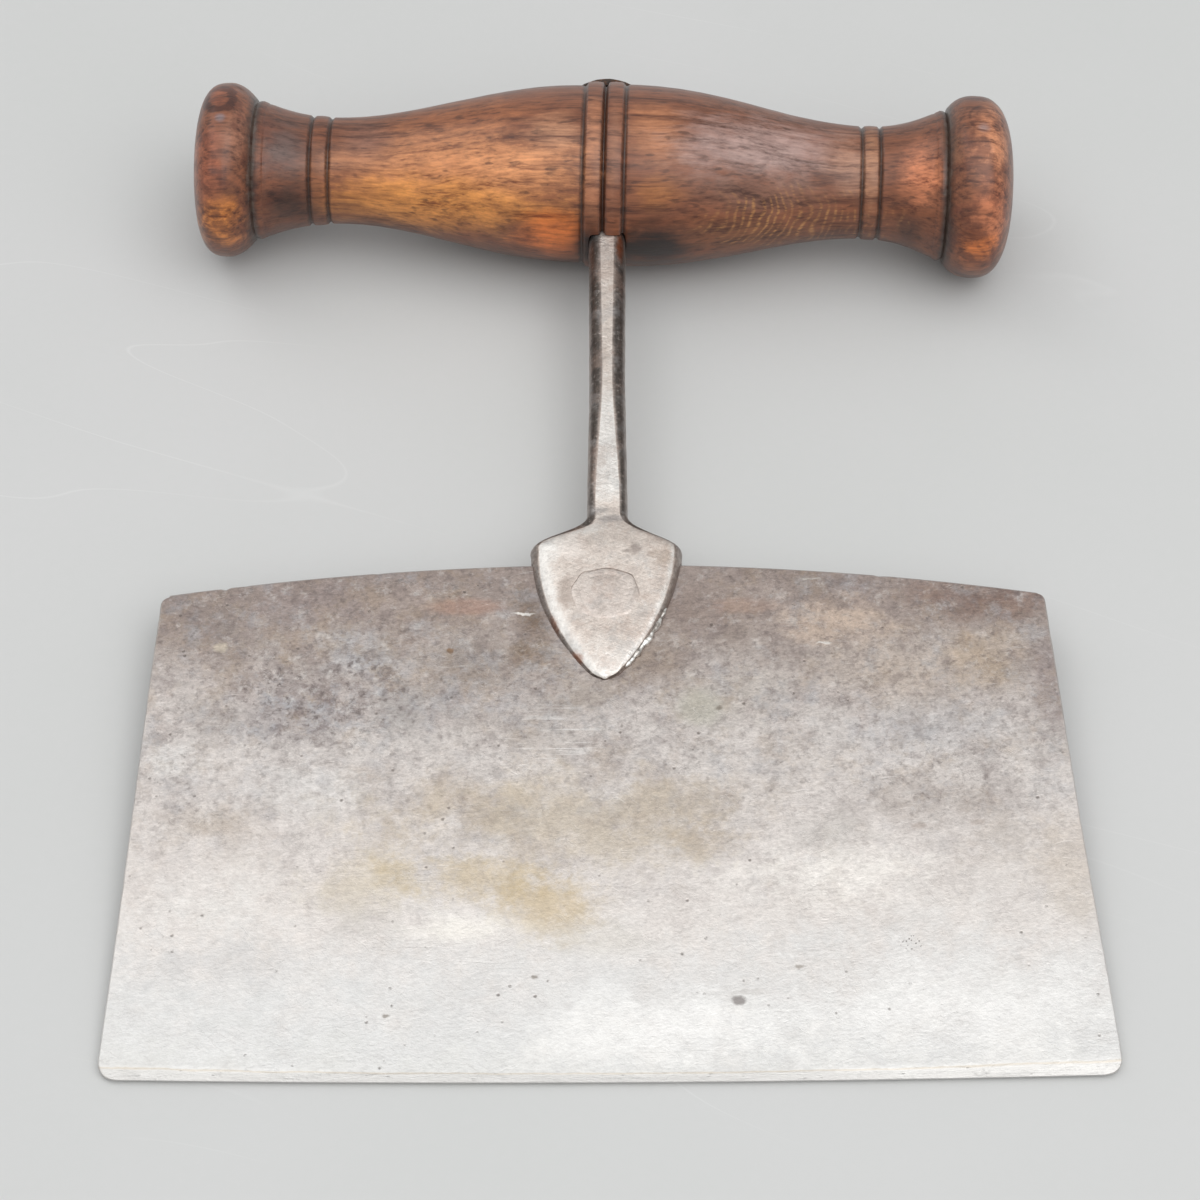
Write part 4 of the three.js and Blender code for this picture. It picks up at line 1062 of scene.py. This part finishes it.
# Forged iron: rubbed bright where hands and cloths reach, with dark scale in the flanks, a little rust where damp
# stays, and file marks along the faces. The worn attribute and the spots also carry painted light: highlights along the
# cheek's rolled rims and its top left shoulder, and a painted dark rim on the shoulders.
def makeIron(name, look, spotsAndHighlight):
    material, add = startMaterial(name)
    coords = pieceCoords(add, shankPlace)
    fray = add("TexNoise", {"Vector": coords, "Scale": 0.4, "Detail": 7.0, "Roughness": 0.7})
    # The worn attribute: rubbed wear, with painted highlights along the cheek's rolled rims and a painted dark rim on
    # the shoulders
    worn = add("Attribute", {"attribute_name": "worn"}).node.outputs["Fac"]
    fine = add("TexNoise", {"Vector": coords, "Scale": 2.2, "Detail": 5.0, "Roughness": 0.7})
    wearAndHighlightHere = add("Math", {"operation": "MULTIPLY_ADD", 0: fray, 1: 0.6, 2: add(
        "Math", {"operation": "ADD", 0: worn, 1: -0.3})})
    wearAndHighlightHere = add("Math", {"operation": "MULTIPLY_ADD", 0: fine, 1: 0.4, 2: add(
        "Math", {"operation": "ADD", 0: wearAndHighlightHere, 1: -0.2})})
    iron = add("ValToRGB", {"Fac": wearAndHighlightHere, "stops": (
        (0.0, look["scale"]), (0.2, look["dark"]), (0.45, look["mid"]), (0.68, look["rubbed"]), (0.97, look["polished"]),
    )})
    # Cloudy stains: pinkish brown ones, bluish grey ones and small dark ones
    for number, (size, start, strength, colour) in enumerate(ironStains):
        spot = add("Mapping", {"Vector": coords, "Location": (number * 13, 7, 0), "Scale": (1, 1, 0.5)})
        cloud = add("TexNoise", {"Vector": spot, "Scale": 1 / size, "Detail": 7.0, "Roughness": 0.7})
        mask = add("MapRange", {"Value": cloud, "From Min": start, "From Max": start + 0.12, "To Max": strength})
        iron = add("Mix", {"data_type": "RGBA", 0: mask, 1: iron, 2: hexColour(colour)})
    # Chips of bright metal in the cheeks' dark flanks
    chips = add("TexNoise", {"Vector": coords, "Scale": 2.2, "Detail": 5.0, "Roughness": 0.7})
    chips = add("MapRange", {"Value": chips, "From Min": 0.54, "From Max": 0.64, "To Max": 0.45})
    onFlank = add("MapRange", {"Value": worn, "From Min": 0.5, "From Max": 0.2})
    onCheek = add("MapRange", {"Value": add("SeparateXYZ", {"Vector": coords}).node.outputs["Y"],
                               "From Min": -74.0, "From Max": -78.0})
    onFlank = add("Math", {"operation": "MULTIPLY", 0: onFlank, 1: onCheek})
    chips = add("Math", {"operation": "MULTIPLY", 0: chips, 1: onFlank})
    iron = add("Mix", {"data_type": "RGBA", 0: chips, 1: iron, 2: hexColour("#C4BBB4")})
    for centre, reach, colour, strength in spotsAndHighlight:
        mask = stainMask(add, coords, centre, reach, 0.7, fray, 1.6)
        part = add("Math", {"operation": "MULTIPLY", 0: mask, 1: strength})
        iron = add("Mix", {"data_type": "RGBA", 0: part, 1: iron, 2: hexColour(colour)})
    marks = None
    for angle, length, across in ((28, 2.6, 0.5), (-18, 1.6, 0.4), (70, 2.2, 0.6)):
        strokes = add("Mapping", {
            "vector_type": "TEXTURE", "Vector": coords, "Rotation": (0, 0, math.radians(angle)),
            "Scale": (length, across, 2.5),
        })
        cloud = add("TexNoise", {"Vector": strokes, "Scale": 1.0, "Detail": 4.0, "Roughness": 0.6})
        marks = cloud if marks is None else add("Math", {"operation": "ADD", 0: marks, 1: cloud})
    tone = add("Math", {"operation": "MULTIPLY_ADD", 0: marks, 1: 0.3, 2: 0.55})
    iron = add("VectorMath", {"operation": "SCALE", 0: iron, 1: tone})
    low, high = look["roughness"]
    gloss = add("MapRange", {"Value": fray, "From Min": 0.35, "From Max": 0.65, "To Min": high, "To Max": low})
    height = add("Math", {"operation": "MULTIPLY_ADD", 0: marks, 1: 0.8, 2: fine})
    bump = add("Bump", {"Height": height, "Strength": 0.7, "Distance": 0.0001})
    shader = add("BsdfPrincipled", {"Base Color": iron, "Metallic": 0.75, "Roughness": gloss, "Normal": bump})
    add("OutputMaterial", {"Surface": shader})
    return material


# Silver solder: pale, lumpy, run out by a torch and never cleaned up.
def makeSolder():
    material, add = startMaterial("torchedSilverSolder")
    coords = pieceCoords(add, shankPlace)
    lumps = add("TexNoise", {"Vector": coords, "Scale": 0.45, "Detail": 3.0})
    colour = add("ValToRGB", {"Fac": lumps, "stops": ((0.38, "#6E6863"), (0.47, "#A8A29D"), (0.56, "#EFEDEA"))})
    bump = add("Bump", {"Height": lumps, "Strength": 0.6, "Distance": 0.0001})
    shader = add("BsdfPrincipled", {"Base Color": colour, "Metallic": 0.9, "Roughness": 0.3, "Normal": bump})
    add("OutputMaterial", {"Surface": shader})
    return material


# Wrought iron washer: dark from the fire, dented by the hammer, brightened on its high spots.
def makeBurrIron():
    material, add = startMaterial("hammeredWroughtIron")
    coords = pieceCoords(add, shankPlace)
    blotch = add("TexNoise", {"Vector": coords, "Scale": 0.8, "Detail": 5.0, "Roughness": 0.65})
    colour = add("ValToRGB", {"Fac": blotch, "stops": (
        (0.32, "#241F1D"), (0.5, "#4A423E"), (0.62, "#6B4A38"), (0.75, "#8E8680"),
    )})
    gloss = add("MapRange", {"Value": blotch, "From Min": 0.3, "From Max": 0.7, "To Min": 0.6, "To Max": 0.38})
    bump = add("Bump", {"Height": blotch, "Strength": 0.6, "Distance": 0.00015})
    shader = add("BsdfPrincipled", {"Base Color": colour, "Metallic": 0.8, "Roughness": gloss, "Normal": bump})
    add("OutputMaterial", {"Surface": shader})
    return material


# Which of the iron's surfaces were rubbed bright: its faces, most of all the cheek's rims and its tip, and least the
# flanks. The bright bands along the cheek's rolled rims are also a painted highlight, and the shoulders get a painted
# dark rim.
def paintWearAndHighlight(bm, backShare):
    worn = bm.verts.layers.float.new("worn")
    for vert in bm.verts:
        at = -vert.co.y
        if at < forging["shankTopAt"] - 3:
            continue
        width, facet, depth, _ = forgingSection(at)
        x = abs(vert.co.x - forgingMiddle(at))
        # The shoulders have a painted dark rim, broader on the left: painted shade where their rounded edge reflects
        # dark
        rim = (1.3 if vert.co.x < forgingMiddle(at) else 0.5) * math.exp(-((at - 74.8) / 1.9) ** 2)
        onFace = 1 - smooth(facet / 2 - 0.12 - rim, facet / 2 + 0.12 - rim, x)
        top = frontHeight(min(max(vert.co.x - forgingMiddle(at), -facet / 2), facet / 2), at) if vert.co.z > 0 else depth / 2
        onFace *= smooth(0.55, 0.2, top - abs(vert.co.z))
        outer = 0.36 * smooth(0.72, 1.0, x / (width / 2))
        fromLeft, fromRight = vert.co.x - forgingMiddle(at) + facet / 2, facet / 2 - vert.co.x + forgingMiddle(at)
        # Painted highlight over rubbed wear: a broad pale band along the cheek's left rolled rim and a thin one along
        # the right, where these rims reflect the lamps
        bandReach = mix(9, 2.9, smooth(75, 83, at))
        bright = max(1 - smooth(0.5, bandReach, fromLeft), 0.8 * (1 - smooth(0.2, 1.3, fromRight)))
        bright = max(bright * smooth(71, 77, at), 0.55 * smooth(92, 102, at))
        bright = max(bright, smooth(40, 56, at) * (1 - smooth(67, 71, at)))
        vert[worn] = max(onFace * ((0.66 + 0.36 * bright) if vert.co.z > 0 else backShare), outer)
    return bm


# Making the pieces

beech = makeBeech()
wood = makeHandleShape()
bore = loft([[point * 1.0 for point in ring] for ring in (
    forgingRing(-20, head=forging["tangWidth"] + 0.3), forgingRing(11.9, head=forging["tangWidth"] + 0.3),
    forgingRing(13.5, head=forging["shankWidth"] + 0.1), forgingRing(20, head=forging["shankWidth"] + 0.25),
)])
pocket = bmesh.new()
bmesh.ops.create_cone(
    pocket, cap_ends=True, segments=64, radius1=burr["radius"] + 0.25, radius2=burr["radius"] + 0.25, depth=6,
    matrix=Matrix.Translation((0, burr["seatAt"] - 0.3 + 3, 0)) @ Matrix.Rotation(math.pi / 2, 4, "X"),
)
handleFromShank = Matrix.Rotation(math.radians(-stance["handleSkewDeg"]), 4, "Z")
for cutter in (bore, pocket):
    bmesh.ops.transform(cutter, matrix=handleFromShank, verts=cutter.verts)
finishPiece("turned_handle", cutAway(wood, [bore, pocket]), handlePlace, beech, "handle")

finishPiece("blade_plate", makeBladeShape(), bladePlace, makeBladeSteel(), "blade", 25)

# Rust, dings and grey marks on the forging, and one painted highlight: centre, reach, colour and strength
forgingSpotsAndHighlight = (
    ((-8.5, -93, 1.4), (1.2, 4, 1.2), "#7A4A30", 0.6), ((8.6, -80.5, 3), (2.2, 2.4, 1.5), "#A08D7E", 0.5),
    ((2.4, -18, 2.6), (1.2, 3.5, 2), "#A0552A", 0.6), ((-1.4, -71.4, 3), (2.4, 1.1, 2), "#979290", 0.75),
    ((0.8, -73, 3), (3, 1.1, 2), "#9B9492", 0.75), ((4.5, -79.2, 3), (1.1, 1.2, 1.4), "#A0958F", 0.9),
    ((3.3, -79.4, 3), (1.4, 0.6, 1.4), "#A0958F", 0.8), ((-6.4, -87.5, 3), (2.2, 4.6, 2), "#A5968D", 0.6),
    # (-6, -79) #E4DCD6 is a painted highlight: the pale spot where the cheek's top left shoulder catches the light
    ((-6, -79, 3), (3.4, 3, 2), "#E4DCD6", 0.7), ((-5, -98.6, 1.2), (1.6, 1.8, 1.2), "#8A5233", 0.6),
)
iron = makeIron("rubbedIronWithPaintedHighlights", ironLook["worn"], forgingSpotsAndHighlight)
finishPiece("shank_and_cheeks", paintWearAndHighlight(makeForgingShape(), 0.5), shankPlace, iron, "shank_forging")
rivetIron = makeIron("filedRivetIron", ironLook["rivet"], ())
finishPiece("filed_rivet", paintWearAndHighlight(makeRivetShape(), 0.5), shankPlace, rivetIron, "cheek_rivet")
finishPiece("cheek_solder", makeSolderShape(), shankPlace, makeSolder(), sharpDeg=80)
finishPiece("hammered_burr", makeBurrShape(), shankPlace, makeBurrIron(), "tang_burr")


# Floor, light and camera

studio = {
    "floorColour": "#D8D8D7", "floorSize": 8,
    "domeLevel": (0.455, 0.46, 0.468), "backdrop": "#D6D7D5",
    # Lamps: name, place, width, depth in metres and power
    "lamps": (
        ("overheadSoftbox", (0.0, -0.2, 1.4), 2.0, 1.6, 8.8),
        ("frontSoftbox", (0.55, -0.7, 1.25), 1.5, 1.2, 6.4),
        ("leftSoftbox", (-0.68, 0.62, 1.0), 0.7, 0.7, 1.5),
    ),
    "lens": 108, "cameraAway": 620.69, "cameraUp": -73.47, "cameraRight": -1.2, "cameraPitchDeg": 57.748,
}


# A pale painted board: even and matt, with faint smudges and a few fine scratches.
def makeFloorPaint():
    material, add = startMaterial("palePaintedBoard")
    spot = add("TexCoord", {}).node.outputs["Object"]
    coords = add("Mapping", {"Vector": spot, "Scale": (1 / metre, 1 / metre, 1 / metre)})
    smudge = add("TexNoise", {"Vector": coords, "Scale": 0.012, "Detail": 4.0})
    grain = add("TexNoise", {"Vector": coords, "Scale": 0.6, "Detail": 3.0})
    tone = add("Math", {"operation": "MULTIPLY_ADD", 0: smudge, 1: 0.5, 2: add(
        "Math", {"operation": "MULTIPLY", 0: grain, 1: 0.12})})
    colour = add("ValToRGB", {"Fac": tone, "stops": ((0.2, "#D4D5D3"), (0.42, studio["floorColour"]))})
    scratches = scratchMask(add, coords, -20, 26, 160, 0.0022)
    part = add("Math", {"operation": "MULTIPLY", 0: scratches, 1: 0.35})
    colour = add("Mix", {"data_type": "RGBA", 0: part, 1: colour, 2: hexColour("#EBEBEA")})
    bump = add("Bump", {"Height": grain, "Strength": 0.1, "Distance": 0.0002})
    shader = add("BsdfPrincipled", {"Base Color": colour, "Roughness": 0.6, "Normal": bump, "Specular IOR Level": 0.3})
    add("OutputMaterial", {"Surface": shader})
    return material


floorMesh = bmesh.new()
bmesh.ops.create_grid(floorMesh, x_segments=1, y_segments=1, size=studio["floorSize"] / 2)
floorData = bpy.data.meshes.new("floor")
floorMesh.to_mesh(floorData)
floorMesh.free()
floorData.materials.append(makeFloorPaint())
floor = bpy.data.objects.new("floor", floorData)
bpy.context.scene.collection.objects.link(floor)

world = bpy.data.worlds.new("studio")
world.use_nodes = True
world.node_tree.nodes.clear()
add = partial(addNode, world.node_tree)
# The dome lights at one level. Cameras and shiny things see the backdrop's pale colour in it.
rays = add("LightPath", {}).node.outputs
seen = add("Math", {"operation": "MAXIMUM", 0: rays["Is Camera Ray"], 1: rays["Is Glossy Ray"]})
seen = add("Math", {"operation": "MAXIMUM", 0: seen, 1: rays["Is Transmission Ray"]})
level = (*studio["domeLevel"], 1)
colour = add("Mix", {"data_type": "RGBA", 0: seen, 1: level, 2: hexColour(studio["backdrop"])})
sky = add("Background", {"Color": colour, "Strength": 1.0})
add("OutputWorld", {"Surface": sky})
bpy.context.scene.world = world

for name, place, width, depth, power in studio["lamps"]:
    lamp = bpy.data.lights.new(name, "AREA")
    lamp.shape = "RECTANGLE"
    lamp.size = width
    lamp.size_y = depth
    lamp.energy = power
    holder = bpy.data.objects.new(name, lamp)
    aimed = Vector(place).to_track_quat("Z", "Y").to_matrix().to_4x4()
    holder.matrix_world = Matrix.Translation(place) @ aimed
    bpy.context.scene.collection.objects.link(holder)

pitch = math.radians(studio["cameraPitchDeg"])
right = Vector((1, 0, 0))
up = Vector((0, math.sin(pitch), math.cos(pitch)))
ahead = Vector((0, math.cos(pitch), -math.sin(pitch)))
lookFrom = -studio["cameraAway"] * ahead + studio["cameraUp"] * up + studio["cameraRight"] * right
cameraData = bpy.data.cameras.new("camera")
cameraData.lens = studio["lens"]
cameraData.sensor_width = 36
cameraData.sensor_fit = "HORIZONTAL"
camera = bpy.data.objects.new("camera", cameraData)
aim = Matrix((right, up, -ahead)).transposed().to_4x4()
camera.matrix_world = shankPlace @ Matrix.Translation(lookFrom * metre) @ aim
bpy.context.scene.collection.objects.link(camera)
bpy.context.scene.camera = camera
bpy.context.scene.view_settings.view_transform = "Standard"
print("stage, light and camera set")
